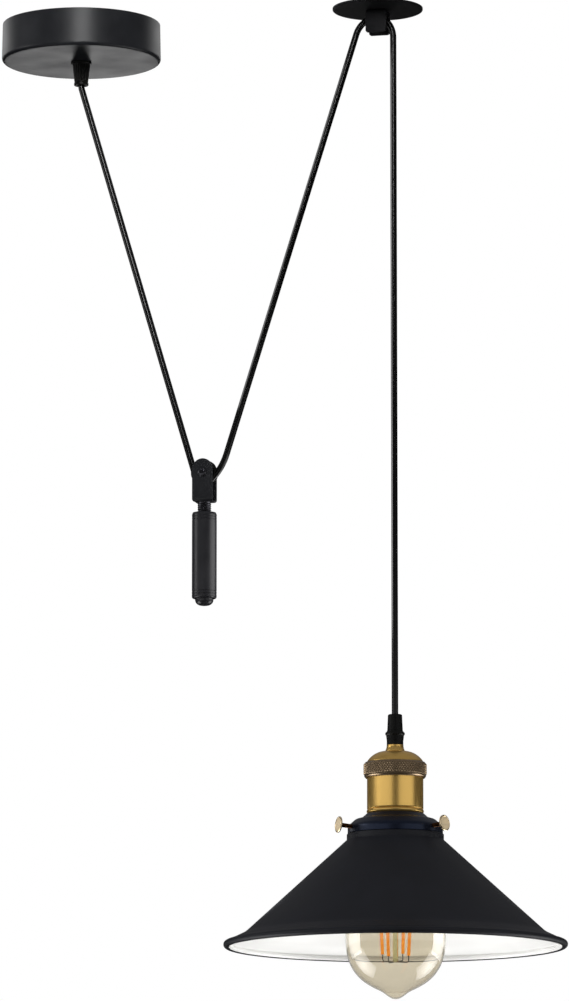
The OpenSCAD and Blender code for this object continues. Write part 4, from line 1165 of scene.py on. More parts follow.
@dataclass
class Fork:
    """A U of flat strip. Its web lies on z = 0 and its cheeks rise to z = length."""

    length: float
    end_r: float
    width: float = 13.8
    thickness: float = 1.6
    gap: float = CHEEK_GAP
    bend_r: float = 2.2
    foot_r: float = 1.0
    edge_r: float = 0.3

    def _centre_line(self) -> tuple[Array, Array]:
        """Middle of the strip along the U as (y, z), and its outward normals."""
        bend_steps, web_steps = 10, 4
        mid = self.thickness / 2
        out, r = self.gap / 2 + mid, self.bend_r - mid
        corner, high = (-out + r, mid + r), self.length - self.end_r
        fine = self.length - self.end_r * (1 - np.cos(np.linspace(0, math.pi / 2, 22)))[::-1]
        cheek = np.concatenate([np.linspace(corner[1], high, 8)[:-1], fine])
        left = np.stack([np.full(len(cheek), -out), cheek[::-1]], -1)
        half = np.concatenate([left, arc(corner, r, 180, 270, bend_steps)[1:]])
        across = np.linspace(corner[0], -corner[0], web_steps + 2)[1:-1]
        web = np.stack([across, np.full(web_steps, mid)], -1)
        line = np.concatenate([half, web, half[::-1] * [-1, 1]])
        n_left = np.tile([-1.0, 0.0], (len(left), 1))
        n_half = np.concatenate([n_left, arc((0, 0), 1, 180, 270, bend_steps)[1:]])
        n_web = np.tile([0.0, -1.0], (web_steps, 1))
        return line, np.concatenate([n_half, n_web, n_half[::-1] * [-1, 1]])

    def points(self) -> Array:
        """The strip: at each place of the U a rounded rectangle, narrowed towards rounded ends.

        Half the width at height z is w - e + sqrt(e^2 - (z - (length - e))^2) near an end of
        radius e, and the same with foot_r near the web. The section's corner k lies at
        (sx (w - q) + q cos a, sn (t/2 - q) + q sin a), with q the smaller of edge_r and w.
        """
        line, normal = self._centre_line()
        z, mid, per_corner = line[:, 1], self.thickness / 2, 5
        top = np.clip(z - (self.length - self.end_r), 0, self.end_r)
        foot = np.clip(self.foot_r - (z - mid), 0, self.foot_r)
        half = self.width / 2 - self.end_r + np.sqrt(np.maximum(self.end_r**2 - top**2, 0))
        half = half - self.foot_r + np.sqrt(np.maximum(self.foot_r**2 - foot**2, 0))
        q = np.minimum(self.edge_r, np.maximum(half, 0))[:, None]
        a = np.radians(
            np.concatenate([np.linspace(s, s + 90, per_corner) for s in (0, 90, 180, 270)])
        )
        corner = np.repeat([0, 1, 2, 3], per_corner)
        sx, sn = np.array([1, -1, -1, 1])[corner], np.array([1, 1, -1, -1])[corner]
        x = sx * (half[:, None] - q) + q * np.cos(a)
        n = sn * (mid - q) + q * np.sin(a)
        yz = line[:, None] + n[..., None] * normal[:, None]
        grid = np.concatenate([x[..., None], yz], axis=-1)
        ends = [np.repeat(grid[i].mean(0)[None, None], grid.shape[1], axis=1) for i in (0, -1)]
        return np.concatenate([ends[0], grid, ends[1]])


@dataclass
class Wheel:
    """A moulded grooved wheel on the Y axis, with a short hub on each side."""

    centre: Array
    pitch_r: float
    flange: float
    bore: float = 1.56
    hub_wall: float = 1.1
    gap: float = CHEEK_GAP

    def points(self) -> Array:
        """Closed section turned round Y: hub, web with a shallow dish, rim, and a round groove."""
        face, hub_half = 0.5 - self.gap / 2, self.gap / 2 - 0.15
        rim, g, hub = self.pitch_r + self.flange, CORD_BORE_R, self.bore + self.hub_wall
        lean, web = 0.6 + 0.4 * self.flange, face + min(1.0, 0.12 * rim)
        side = fillet(
            [
                (self.bore, -hub_half, 0.12), (hub, -hub_half, 0.2), (hub, web, 0.25),
                (rim - 1.1, web, 0.25), (rim - 0.9, face, 0.15), (rim, face, 0.3),
                (rim, -g - lean + 0.2, 0.3), (self.pitch_r, -g, 0),
            ],
            steps=4,
        )
        groove = arc((self.pitch_r, 0), g, -90, -270, 20)
        first, last = [[self.bore, -hub_half + 0.1]], [[self.bore, hub_half - 0.1]]
        section = join(first, side[1:], groove, (side * [1, -1])[::-1][:-1], last)
        return place(turned(section, 96), (self.centre[0], 0, self.centre[1]), Axis.BACK.value)


@dataclass
class AxleScrew:
    """A domed machine screw with a cross recess, and its nut behind the fork."""

    centre: Array
    diameter: float = 3.0
    head_d: float = 5.6
    head_h: float = 1.6
    dome_r: float = 5.6
    nut_af: float = 5.5
    nut_h: float = 2.2
    span: float = 11.8
    recess: float = 0.85
    wing: float = 1.4
    slot_half: float = 0.46
    screw_turn: float = 22.0
    nut_turn: float = 12.0

    def _relieved(self, form: Array) -> Array:
        """Sinks the cross: each wing is a smooth slot 0.62 mm wide that rises towards its end."""
        x, y, z = form[..., 0], form[..., 1], form[..., 2]

        def slot(u: Array, v: Array) -> Array:
            """Depth share of one slot along u."""
            flank, end = (self.slot_half - np.abs(v)) / 0.22, (self.wing - np.abs(u)) / 0.5
            return smooth(flank) * smooth(end)

        sunk = self.recess * np.maximum(slot(x, y), slot(y, x)) * (z > 0.2)
        return np.stack([x, y, z - sunk], axis=-1)

    def screw(self) -> Array:
        """Head dome, under-head, plain shank and threaded end, along Y with the head in front."""
        r, shank, end = self.head_d / 2, self.diameter / 2, -self.span - self.nut_h
        rr = np.linspace(0, r - 0.25, 34)
        top = np.stack([rr, self.head_h - self.dome_r + np.sqrt(self.dome_r**2 - rr**2)], -1)
        edge = float(top[-1, 1])
        rest = fillet(
            [
                (rr[-1], edge, 0), (r, edge - 0.2, 0.2), (r, 0, 0.1), (shank, 0, 0.1),
                (shank, end - 0.4, 0.35), (0, end - 0.4, 0),
            ]
        )
        cut = thread(0.22, 0.5, end - 0.3, -self.span + 1.6)
        form = self._relieved(turned(dense(join(top, rest), 0.4), 96, cut))
        front = (self.centre[0], -self.span / 2, self.centre[1])
        return place(form, front, Axis.FRONT.value, self.screw_turn)

    def nut(self) -> Array:
        """Hexagon nut: the smaller of the hexagon and two 30-degree cones."""
        r, h, bore = self.nut_af / math.sqrt(3), self.nut_h, self.diameter / 2 + 0.02
        rim, ease = self.nut_af / 2 * 0.97, 0.25
        section = [
            [bore, ease], [bore + ease, 0], [rim, 0], [r, 0.3], [r, h - 0.3], [rim, h],
            [bore + ease, h], [bore, h - ease], [bore, ease],
        ]
        form = turned(dense(np.array(section), 0.3)[:-1], 96, hexagon(self.nut_af, -1, h + 1))
        back = (self.centre[0], self.span / 2, self.centre[1])
        return place(form, back, Axis.BACK.value, self.nut_turn)


@dataclass
class CeilingPulley:
    """The plate, fork, stud, pin and wheel that hang the slanting cord from the ceiling."""

    route: Route
    plate_d: float = 59.0
    fork_l: float = 15.4
    fork_end_r: float = 1.6
    wheel_flange: float = 0.9
    stud_d: float = 4.0
    stud_neck_d: float = 3.4
    stud_l: float = 25.0
    stud_point: float = 4.0
    pin_d: float = 3.0
    pin_half: float = 5.9
    pin_head_r: float = 2.45
    pin_proud: float = 0.06

    def plate(self) -> Array:
        """Flat disc with a rounded lower edge and a hole for the stud."""
        t, r, hole = self.route.plate_t, self.plate_d / 2, self.stud_d / 2 + 0.1
        corners = [(hole, -t, 0.1), (r, -t, 0.7), (r, 0, 0.15), (hole, 0, 0.1)]
        section = dense(fillet(corners, closed=True, steps=6), 2.0)
        return upright(turned(section, 192), self.route.pulley_x)

    def stud(self) -> Array:
        """Flush rivet head, plain neck, then a coarse screw thread to a point."""
        neck, r, tip = self.stud_neck_d / 2, self.stud_d / 2, self.stud_l
        foot = -self.route.plate_t - self.route.fork_t
        line = join(
            [[0, foot], [neck + 1.2, foot], [neck, foot + 1.2], [neck, 0.5], [r, 0.9]],
            [[r, tip - self.stud_point], [0.4, tip], [0, tip]],
        )
        form = turned(dense(line, 0.16), 48, thread(0.55, 1.9, 0.5, tip - 0.2))
        return upright(form, self.route.pulley_x)

    def pin(self) -> Array:
        """Plain pin, a hair proud of the front cheek and headed over behind."""
        half, head, r = self.pin_half, self.pin_head_r, self.pin_d / 2
        front = -half - self.pin_proud
        line = fillet(
            [
                (0, half + 1.05, 0), (1.2, half + 0.95, 0.8), (head, half + 0.2, 0.3),
                (head, half, 0.05), (r, half, 0), (r, front, 0.06), (r - 0.25, front, 0.05),
                (0, front + 0.04, 0),
            ]
        )
        x, z = self.route.ceiling_axle
        return place(turned(line, 64), (x, 0, z), Axis.BACK.value)

    def build(self) -> None:
        """Makes the pulley's pieces."""
        # Plate, fork and pin take the copy of the black paint that is darkened as painted shade.
        route, dull = self.route, Palette.shaded_dull_paint
        fork = Fork(self.fork_l, self.fork_end_r).points() * [1, 1, -1]
        fork = fork + [route.pulley_x, 0, -route.plate_t]
        wheel = Wheel(route.ceiling_axle, route.ceiling_pitch_r, self.wheel_flange).points()
        make_pieces(Body.CEILING, {"ceiling_plate": (dull, self.plate(), "pulley_plate")})
        rows = {
            "ceiling_pulley_fork": (dull, fork, "ceiling_fork"),
            "ceiling_pulley_stud": (Palette.zinc, self.stud(), "ceiling_stud"),
            "ceiling_pulley_pin": (dull, self.pin(), "ceiling_axle_pin"),
        }
        make_pieces(Body.CEILING, rows, wrap_rows=False)
        rows = {"ceiling_pulley_wheel": (Palette.nylon, wheel, "ceiling_wheel")}
        make_pieces(Body.CEILING_WHEEL, rows)


# ---------------------------------------------------------------------------
# Counterweight
# ---------------------------------------------------------------------------


@dataclass
class Counterweight:
    """The hanging pulley with its threaded neck, turned weight and end button."""

    route: Route
    fork_l: float = 28.2
    fork_end_r: float = 6.9
    wheel_flange: float = 2.0
    axle_inset: float = 9.2
    neck_d: float = 8.9
    neck_l: float = 6.8
    weight_d: float = 16.1
    weight_l: float = 56.4
    grooves: tuple[float, ...] = (2.6, 4.4, 51.5, 53.3)
    groove_depth: float = 0.3
    button_d: float = 12.0
    button_h: float = 4.6

    @property
    def foot_z(self) -> float:
        """Underside of the fork."""
        return float(self.route.weight_axle[1]) + self.axle_inset - self.fork_l

    def neck(self) -> Array:
        """Threaded stud from inside the weight up to a rivet head on the fork's web."""
        foot, r = self.foot_z, self.neck_d / 2
        low = foot - self.neck_l - 1.5
        line = join(
            [[0, low], [r, low], [r, foot - 0.02], [3.0, foot], [3.0, foot + 1.6]],
            [[3.6, foot + 1.6], [3.6, foot + 2.4], [3.2, foot + 2.9], [2.2, foot + 3.0]],
            [[0, foot + 3.0]],
        )
        form = turned(dense(line, 0.12), 72, thread(0.5, 1.25, low, foot - 0.3))
        return upright(form, self.route.weight_x)

    def cylinder(self) -> Array:
        """Turned bar: chamfered top, two fine grooves near each end, rounded foot."""
        r, top = self.weight_d / 2, self.foot_z - self.neck_l
        low, deep = top - self.weight_l, r - self.groove_depth
        line: list[Point] = [(0, top, 0), (r - 0.5, top, 0.2), (r, top - 1.4, 0.3)]
        for z in (top - groove for groove in self.grooves):
            line += [(r, z, 0.08), (deep, z - 0.1, 0.05), (deep, z - 0.4, 0.05), (r, z - 0.5, 0.08)]
        line += [(r, low, 1.2), (0, low, 0)]
        return upright(turned(dense(fillet(line), 1.0), 144), self.route.weight_x)

    def button(self) -> Array:
        """Cast end button: a short straight side that runs into a bowl with a small flat foot."""
        r, top = self.button_d / 2, self.foot_z - self.neck_l - self.weight_l
        low = top - self.button_h
        bowl = cubic([[r, top - 0.7], [r - 0.1, low + 1.4], [r - 2.0, low], [1.2, low]], 16)
        section = dense(join([[0, top + 0.4], [r, top + 0.4]], bowl, [[0, low]]), 0.6)
        return upright(turned(section, 96), self.route.weight_x)

    def build(self) -> None:
        """Makes the counterweight's pieces."""
        route, body, steel = self.route, Body.COUNTERWEIGHT, Palette.black_steel
        fork = Fork(self.fork_l, self.fork_end_r).points() + [route.weight_x, 0, self.foot_z]
        axle = AxleScrew(route.weight_axle)
        rows = {
            "weight_pulley_fork": (Palette.paint, fork, "weight_fork"),
            "weight_axle": (steel, axle.screw(), "weight_axle_screw"),
        }
        make_pieces(body, rows, wrap_rows=False)
        nut = Piece("weight_axle_lock", steel).add(axle.nut(), wrap_rows=True)
        nut.make(body, "weight_axle_nut", sharp=25)
        rows = {
            "weight_neck": (steel, self.neck(), "weight_stud"),
            "weight_bar": (Palette.iron, self.cylinder(), "weight_cylinder"),
            "weight_button": (Palette.iron, self.button(), "weight_end_button"),
        }
        make_pieces(body, rows, wrap_rows=False)
        wheel = Wheel(route.weight_axle, route.weight_pitch_r, self.wheel_flange).points()
        rows = {"weight_pulley_wheel": (Palette.nylon, wheel, "weight_wheel")}
        make_pieces(Body.WEIGHT_WHEEL, rows)


# ---------------------------------------------------------------------------
# Lampholder
# ---------------------------------------------------------------------------


@dataclass
class OnLamp:
    """A sub-assembly that is turned round the lamp's upright axis."""

    route: Route

    def lathe(self, section: Array, sides: int, relief: Relief | None = None) -> Array:
        """Turns a section round the lamp's axis."""
        return upright(turned(section, sides, relief), self.route.lamp_x)


@dataclass
class Lampholder(OnLamp):
    """Cord grip, flared collar, domed cap, knurled ring and brass shell."""

    grip_cap_z: float = -475.7
    grip_ring_z: float = -478.8
    grip_z: float = -484.8
    grip_r: float = 6.3
    stub_r: float = 3.3
    stub_h: float = 3.5
    tail_z: float = -493.3
    cap_z: float = -489.0
    ring_z: float = -496.18
    joint_z: float = -500.44
    ring_foot_z: float = -506.18
    bead_top_z: float = -526.3
    bead_foot_z: float = -529.2
    shell_end_z: float = -535.88
    tail_r: float = 4.2
    collar_r: float = 6.2
    collar_top_r: float = 5.4
    shoulder_r: float = 13.85
    flat_r: float = 6.2
    shell_r: float = 18.05
    neck_r: float = 16.7
    wall: float = 0.8
    ring_r: float = 20.35
    knurls: int = 72
    knurl_pitch: float = 2.4
    knurl_depth: float = 0.45
    knurl_fade: float = 0.35
    knurl_rows: int = 73
    plain_wear: float = 0.38

    def grip_cap(self) -> Array:
        """Screwed cap of the grip: a slight taper with a rounded top and a bore."""
        low, top, bore = self.grip_cap_z, self.route.lamp_grip_top_z, CORD_BORE_R
        section = [
            (bore, low, 0.1), (5.0, low, 0.25), (4.55, top, 1.3),
            (bore + 0.5, top, 0.3), (bore, top - 0.7, 0.2),
        ]
        return self.lathe(dense(fillet(section, closed=True, steps=7), 0.8), 128)

    def grip_body(self) -> Array:
        """Body of the grip: stub, rounded ring, waisted skirt and a threaded tail."""
        bore, stub, tail, r = CORD_BORE_R, self.stub_r, self.tail_r, self.grip_r
        top, low, seat, end = self.grip_cap_z, self.grip_ring_z, self.grip_z, self.tail_z
        section = [
            (bore, top + self.stub_h, 0), (stub, top + self.stub_h, 0), (stub, top, 0),
            (5.2, top, 0), (5.2, top - 0.7, 0.15), (5.6, top - 0.7, 0.1), (r, top - 1.5, 0.7),
            (r, low + 0.7, 0.7), (5.75, low, 0.5), (5.3, seat + 2.2, 2.0), (5.35, seat, 0.2),
            (tail, seat, 0), (tail, end, 0.3), (bore, end, 0),
        ]
        return self.lathe(dense(fillet(section, closed=True), 0.8), 128)

    def collar(self) -> Array:
        """Brass bush: straight at the top and flared on to the cap by one cubic curve."""
        seat, top, r, top_r = self.cap_z, self.grip_z - 0.02, self.collar_r, self.collar_top_r
        high, bore = top - seat, self.tail_r + 0.1
        flare = cubic(
            [
                [r, seat + 0.5], [r - 0.2, seat + 1.1],
                [top_r + 0.1, seat + 0.45 * high], [top_r, seat + 0.75 * high],
            ],
            12,
        )
        section = join(
            [[bore, seat], [r - 0.15, seat], [r, seat + 0.15]],
            flare,
            [[top_r, top - 0.25], [top_r - 0.2, top], [bore, top]],
        )
        return self.lathe(dense(section, 0.5), 160)

    def cap(self) -> Array:
        """Spun dome: a flat top, then a quarter-round shoulder of even thickness to the ring."""
        centre = (self.flat_r, self.cap_z - self.shoulder_r)
        foot = self.joint_z + 0.02

        def outline(t: float) -> Array:
            """Outside line grown inward by t, from the hole to the foot."""
            r, side = self.shoulder_r - t, self.shell_r - t
            end = math.degrees(math.acos((side - self.flat_r) / r))
            hole = [[self.tail_r + 0.1, self.cap_z - t]]
            return join(hole, arc(centre, r, 90, end, 30), [[side, foot]])

        return self.lathe(dense(join(outline(0), outline(self.wall)[::-1]), 0.8), 192)

    def ring(self) -> tuple[Array, Array]:
        """Union ring with a diamond knurl, and the wear of each point.

        With u the angle times the knurl count and v the height over a row's height, both in
        turns, the two cuts are triangle waves of u + v and u - v; the height of a point is the
        lower of the two, so four-sided points stand between crossing grooves. Wear is that height.

        Returns:
            The grid and its wear.
        """
        top, foot, r, sides = self.ring_z, self.ring_foot_z, self.ring_r, self.knurls * 10
        low, k_top, k_foot = r - self.knurl_depth, top - 1.0, foot + 2.0
        bore, neck, ledge = self.shell_r + 0.1, self.shell_r + 1.0, top - 2.6
        knurled = np.linspace(k_top, k_foot, self.knurl_rows)
        section = join(
            [[bore, top], [low - 0.9, top], [low - 0.7, top - 0.08], [low - 0.1, k_top + 0.1]],
            np.stack([np.full(self.knurl_rows, r), knurled], -1),
            [[low - 0.05, k_foot - 0.15], [low - 0.05, foot + 1.2], [low - 0.35, foot + 0.55]],
            [[low - 1.0, foot + 0.06], [low - 1.2, foot], [neck, foot], [neck, ledge]],
            [[bore, ledge]],
        )
        height = np.zeros((len(section), sides))

        def relief(rr: Array, z: Array, a: Array) -> Array:
            """Radius between the bottom and the points of the knurl."""
            u, v = a / TAU * self.knurls, (z - k_top) / self.knurl_pitch
            first, second = (2 * np.abs((u + s * v) % 1.0 - 0.5) for s in (1, -1))
            cut = np.clip(1.35 * (1 - np.maximum(first, second)) - 0.1, 0, 1)
            fade = smooth((k_top - z) / self.knurl_fade) * smooth((z - k_foot) / self.knurl_fade)
            on = rr > r - TOUCH
            height[:] = np.where(on, cut * fade, self.plain_wear)
            return np.where(on, low + self.knurl_depth * cut * fade, rr)

        return self.lathe(section, sides, relief), height

    def shell(self) -> Array:
        """Drawn shell: threaded top inside the ring, straight side, rolled bead, narrower neck."""
        r, t, bead = self.shell_r, self.wall, (self.bead_top_z - self.bead_foot_z) / 2
        top, foot, end = self.ring_foot_z, self.bead_foot_z, self.shell_end_z
        outside = join(
            [[r + 0.9, self.joint_z], [r + 0.9, top + 0.4], [r, top + 0.35]],
            [[r, self.bead_top_z + 0.25], [r - 0.12, self.bead_top_z + 0.05]],
            arc((r - bead + 0.3, foot + bead), bead, 62, -75, 18),
            [[self.neck_r, foot], [self.neck_r, end]],
        )
        neck = self.neck_r - t
        inside = [[neck, end], [neck, foot + t], [r - t, foot + t], [r - t, self.joint_z]]
        return self.lathe(dense(join(outside, inside), 0.8), 192)

    def build(self) -> None:
        """Makes the holder's pieces and dresses the solids inside it."""
        nylon, brass, terminal = Palette.nylon, Palette.brass, Palette.terminal
        rows = {
            "lamp_grip_top": (nylon, self.grip_cap(), "lamp_grip_cap"),
            "lamp_grip_base": (nylon, self.grip_body(), "lamp_grip_body"),
            "flared_collar": (brass, self.collar(), "brass_collar"),
            "domed_cap": (brass, self.cap(), "socket_cap"),
        }
        make_pieces(Body.LAMP, rows)
        form, wear = self.ring()
        ring = Piece("knurled_union_ring", Palette.bronze).add(form, wrap_rows=True, wear=wear)
        ring.make(Body.UNION_RING, "knurled_ring", sharp=60)
        make_pieces(Body.LAMP, {"brass_shell": (brass, self.shell(), "socket_shell")})
        dress_nodes(
            {
                "grip_lock_nut": terminal,
                "lampholder_core": Palette.porcelain,
                "core_terminals": terminal,
                "holder_leads": Palette.core,
                "screw_contact": terminal,
                "centre_contact": terminal,
            }
        )


# ---------------------------------------------------------------------------
# Fitter, shade and thumb screws
# ---------------------------------------------------------------------------


@dataclass
class ShadeSet(OnLamp):
    """The gloss fitter, its ring nut, the cone shade and the three thumb screws."""

    throat_z: float = -529.24
    dome_z: float = -540.31
    skirt_z: float = -542.11
    fitter_r: float = 30.5
    dome_r: float = 8.2
    hole_r: float = 16.8
    shell_r: float = 18.05
    wall: float = 1.0
    nut_bore_r: float = 16.71
    nut_body_r: float = 20.1
    nut_flange_r: float = 21.7
    nut_h: float = 3.2
    notch_r: float = 1.6
    collar_r: float = 31.1
    collar_top_z: float = -542.31
    cone_z: float = -546.21
    neck_r: float = 27.7
    lip_top_z: float = -536.71
    brim: tuple[float, float] = (96.6, -605.91)
    rim_r: float = 107.8
    rim_z: float = -613.11
    roll_r: float = 2.2
    enamel_edge: float = -132.0
    thumb_z: float = -538.51
    thumb_tilt: float = 5.5
    thumb_reach: float = 39.3
    thumb_d: float = 10.6
    thumb_t: float = 1.2
    shank_d: float = 2.9
    coin_waves: int = 56
    coin_depth: float = 0.09
    thumbs: dict[Body, tuple[float, str]] = field(
        default_factory=lambda: {
            Body.THUMB_FRONT_RIGHT: (-24.0, "thumb_screw_front_right"),
            Body.THUMB_FRONT_LEFT: (-144.0, "thumb_screw_front_left"),
            Body.THUMB_BACK: (96.0, "thumb_screw_back"),
        }
    )

    def fitter(self) -> Array:
        """Spun fitter: from the bead over a shallow shoulder and a round corner to a skirt."""
        t, r, foot, centre = self.wall, self.fitter_r, self.skirt_z, self.fitter_r - self.dome_r
        lip, flat = self.shell_r + 0.25, self.dome_z + self.dome_r
        outline = [
            (lip, self.throat_z, 0), (lip + 0.3, self.throat_z - 0.2, 0.2),
            (centre - 0.9, flat + 0.2, 2.5), (centre + 3.3, flat - 0.9, 4),
            (r, flat - 5.2, 4), (r, foot + 0.2, 0),
        ]
        section = join(
            [[self.hole_r, self.throat_z]],
            fillet(outline, steps=12),
            [[r - 0.2, foot], [r - t + 0.15, foot], [r - t, foot + 0.15]],
            arc((centre, self.dome_z), self.dome_r - t, 0, 90, 18),
            [[self.hole_r, flat - t]],
        )
        return self.lathe(section, 224)

    def ring_nut(self) -> Array:
        """Moulded ring nut with eight finger notches in its flange."""
        inner, body, flange = self.nut_bore_r, self.nut_body_r, self.nut_flange_r
        z = self.dome_z + self.dome_r - self.wall - self.nut_h
        step, top = z + 2, z + self.nut_h - 0.02
        section = [
            (inner, z, 0.2), (body, z, 0.3), (body, step, 0.1),
            (flange, step, 0.2), (flange, top, 0.2), (inner, top, 0.2),
        ]

        def relief(r: Array, _: Array, a: Array) -> Array:
            """Round notches: the radius is cut back near each multiple of 45 degrees."""
            off = np.abs((a + math.pi / 8) % (math.pi / 4) - math.pi / 8) * flange
            notch = np.sqrt(np.maximum(self.notch_r**2 - off**2, 0))
            return np.where(r > body + 0.01, np.maximum(body - 0.05, r - notch), r)

        return self.lathe(dense(fillet(section, closed=True), 0.6), 256, relief)

    def shade(self) -> tuple[Array, Array]:
        """Spun cone with a stepped collar, a turned-out brim and a rolled rim.

        Returns:
            The grid, and the finish of each row of faces: 0 outside, 1 inside.
        """
        t, roll, neck, collar_r = self.wall, (self.rim_r, self.rim_z), self.neck_r, self.collar_r
        lip_z, step_z, cone_z = self.lip_top_z, self.collar_top_z, self.cone_z
        cone, knee = np.array([collar_r, cone_z]), np.array(self.brim)
        rim = np.array([self.rim_r + 0.3, self.rim_z + self.roll_r - 0.4])
        slope = (knee - cone) / np.linalg.norm(knee - cone)
        brim = (rim - knee) / np.linalg.norm(rim - knee)
        bend = cubic([knee - 5 * slope, knee, knee, knee + 5 * brim], 10)
        side, down = (np.array([way[1], -way[0]]) * t for way in (slope, brim))
        share = np.linspace(1, 0, len(bend))[:, None]
        collar = fillet(
            [
                (neck, lip_z - 0.9, 0), (neck, step_z, 0.3), (collar_r, step_z, 0.6),
                (collar_r, cone_z, 0.5), (*(cone + 3 * slope), 0),
            ]
        )
        lip = [[neck + 0.5, lip_z - 0.8], [neck + 0.5, lip_z - 0.1], [neck + 0.4, lip_z]]
        outside = join(lip, collar, bend, arc(roll, self.roll_r, 102, self.enamel_edge, 36))
        back = [
            (*(cone + 3 * slope + side), 0), (collar_r - t, cone_z - 0.4, 0.6),
            (collar_r - t, step_z - t, 0.4), (neck - t, step_z - t, 0.3), (neck - t, lip_z, 0),
        ]
        inside = join(
            arc(roll, self.roll_r, self.enamel_edge, -225, 14),
            (bend + side * share + down * (1 - share))[::-1],
            fillet(back),
        )
        section = dense(join(outside, inside), 4)
        edge = int(np.argmin(np.linalg.norm(section - inside[0], axis=1)))
        finish = (np.arange(len(section)) >= edge).astype(int)
        return self.lathe(section, 288), finish

    def _thumb(self, profile: Array, angle: float, relief: Relief, sides: int) -> Array:
        """Turns a profile (r, distance from the fitter) round a screw's own tilted axis."""
        a, e = math.radians(angle), math.radians(self.thumb_tilt)
        out = np.array([math.cos(a), math.sin(a), 0.0])
        start = self.fitter_r * out + [self.route.lamp_x, 0.0, self.thumb_z]
        axis = math.cos(e) * out + [0.0, 0.0, math.sin(e)]
        return place(turned(profile, sides, relief), start, axis)

    def thumb(self, angle: float) -> tuple[Array, Array]:
        """One thumb screw as two grids: threaded shank with a dog point, and a coin-shaped head.

        Args:
            angle: Direction from the lamp's axis, in degrees.

        Returns:
            Grid of the shank and grid of the head.
        """
        r, edge, tip = self.shank_d / 2, self.thumb_d / 2, self.neck_r + 0.3 - self.fitter_r
        reach = (self.thumb_reach - self.fitter_r) / math.cos(math.radians(self.thumb_tilt))
        head = reach - self.thumb_t / 2
        end = head + self.thumb_t
        shank = join(
            [[0, tip], [r - 0.5, tip], [r - 0.45, tip + 1.2], [r, tip + 1.5], [r, head - 1.3]],
            [[r + 0.15, head - 1.0], [r + 0.65, head - 0.1], [r + 0.65, head + 0.1]],
            [[0, head + 0.1]],
        )
        disc = fillet(
            [
                (0, head, 0), (edge - 0.2, head, 0.25), (edge, head + 0.35, 0.25),
                (edge, end - 0.35, 0.3), (edge - 0.55, end, 0.25), (edge - 1.0, end - 0.22, 0.3),
                (0, end - 0.3, 0),
            ],
            steps=6,
        )

        def milled(rr: Array, _: Array, a: Array) -> Array:
            """Fine milling on the coin's edge, in shallow waves."""
            return rr - self.coin_depth * (rr > edge - 0.05) * swell(self.coin_waves * a)

        cut = thread(0.28, 0.7, tip + 1.6, head - 1.2)
        shank_grid = self._thumb(dense(shank, 0.12), angle, cut, 48)
        return shank_grid, self._thumb(disc, angle, milled, 224)

    def build(self) -> None:
        """Makes the fitter, shade and screws."""
        rows = {
            "gloss_fitter": (Palette.gloss, self.fitter(), "shade_fitter"),
            "fitter_ring_nut": (Palette.nylon, self.ring_nut(), "fitter_ring"),
        }
        make_pieces(Body.LAMP, rows)
        form, finish = self.shade()
        cone = Piece("cone_shade", Palette.shade_outside, Palette.shade_inside)
        cone.add(form, wrap_rows=True, finish=finish).make(Body.LAMP, "shade")
        for body, (angle, node) in self.thumbs.items():
            shank, head = self.thumb(angle)
            screw = Piece(f"{body.value}_screw", Palette.pale, Palette.shank)
            screw.add(head).add(shank, finish=1).make(body, node)


# ---------------------------------------------------------------------------
# Bulb
# ---------------------------------------------------------------------------


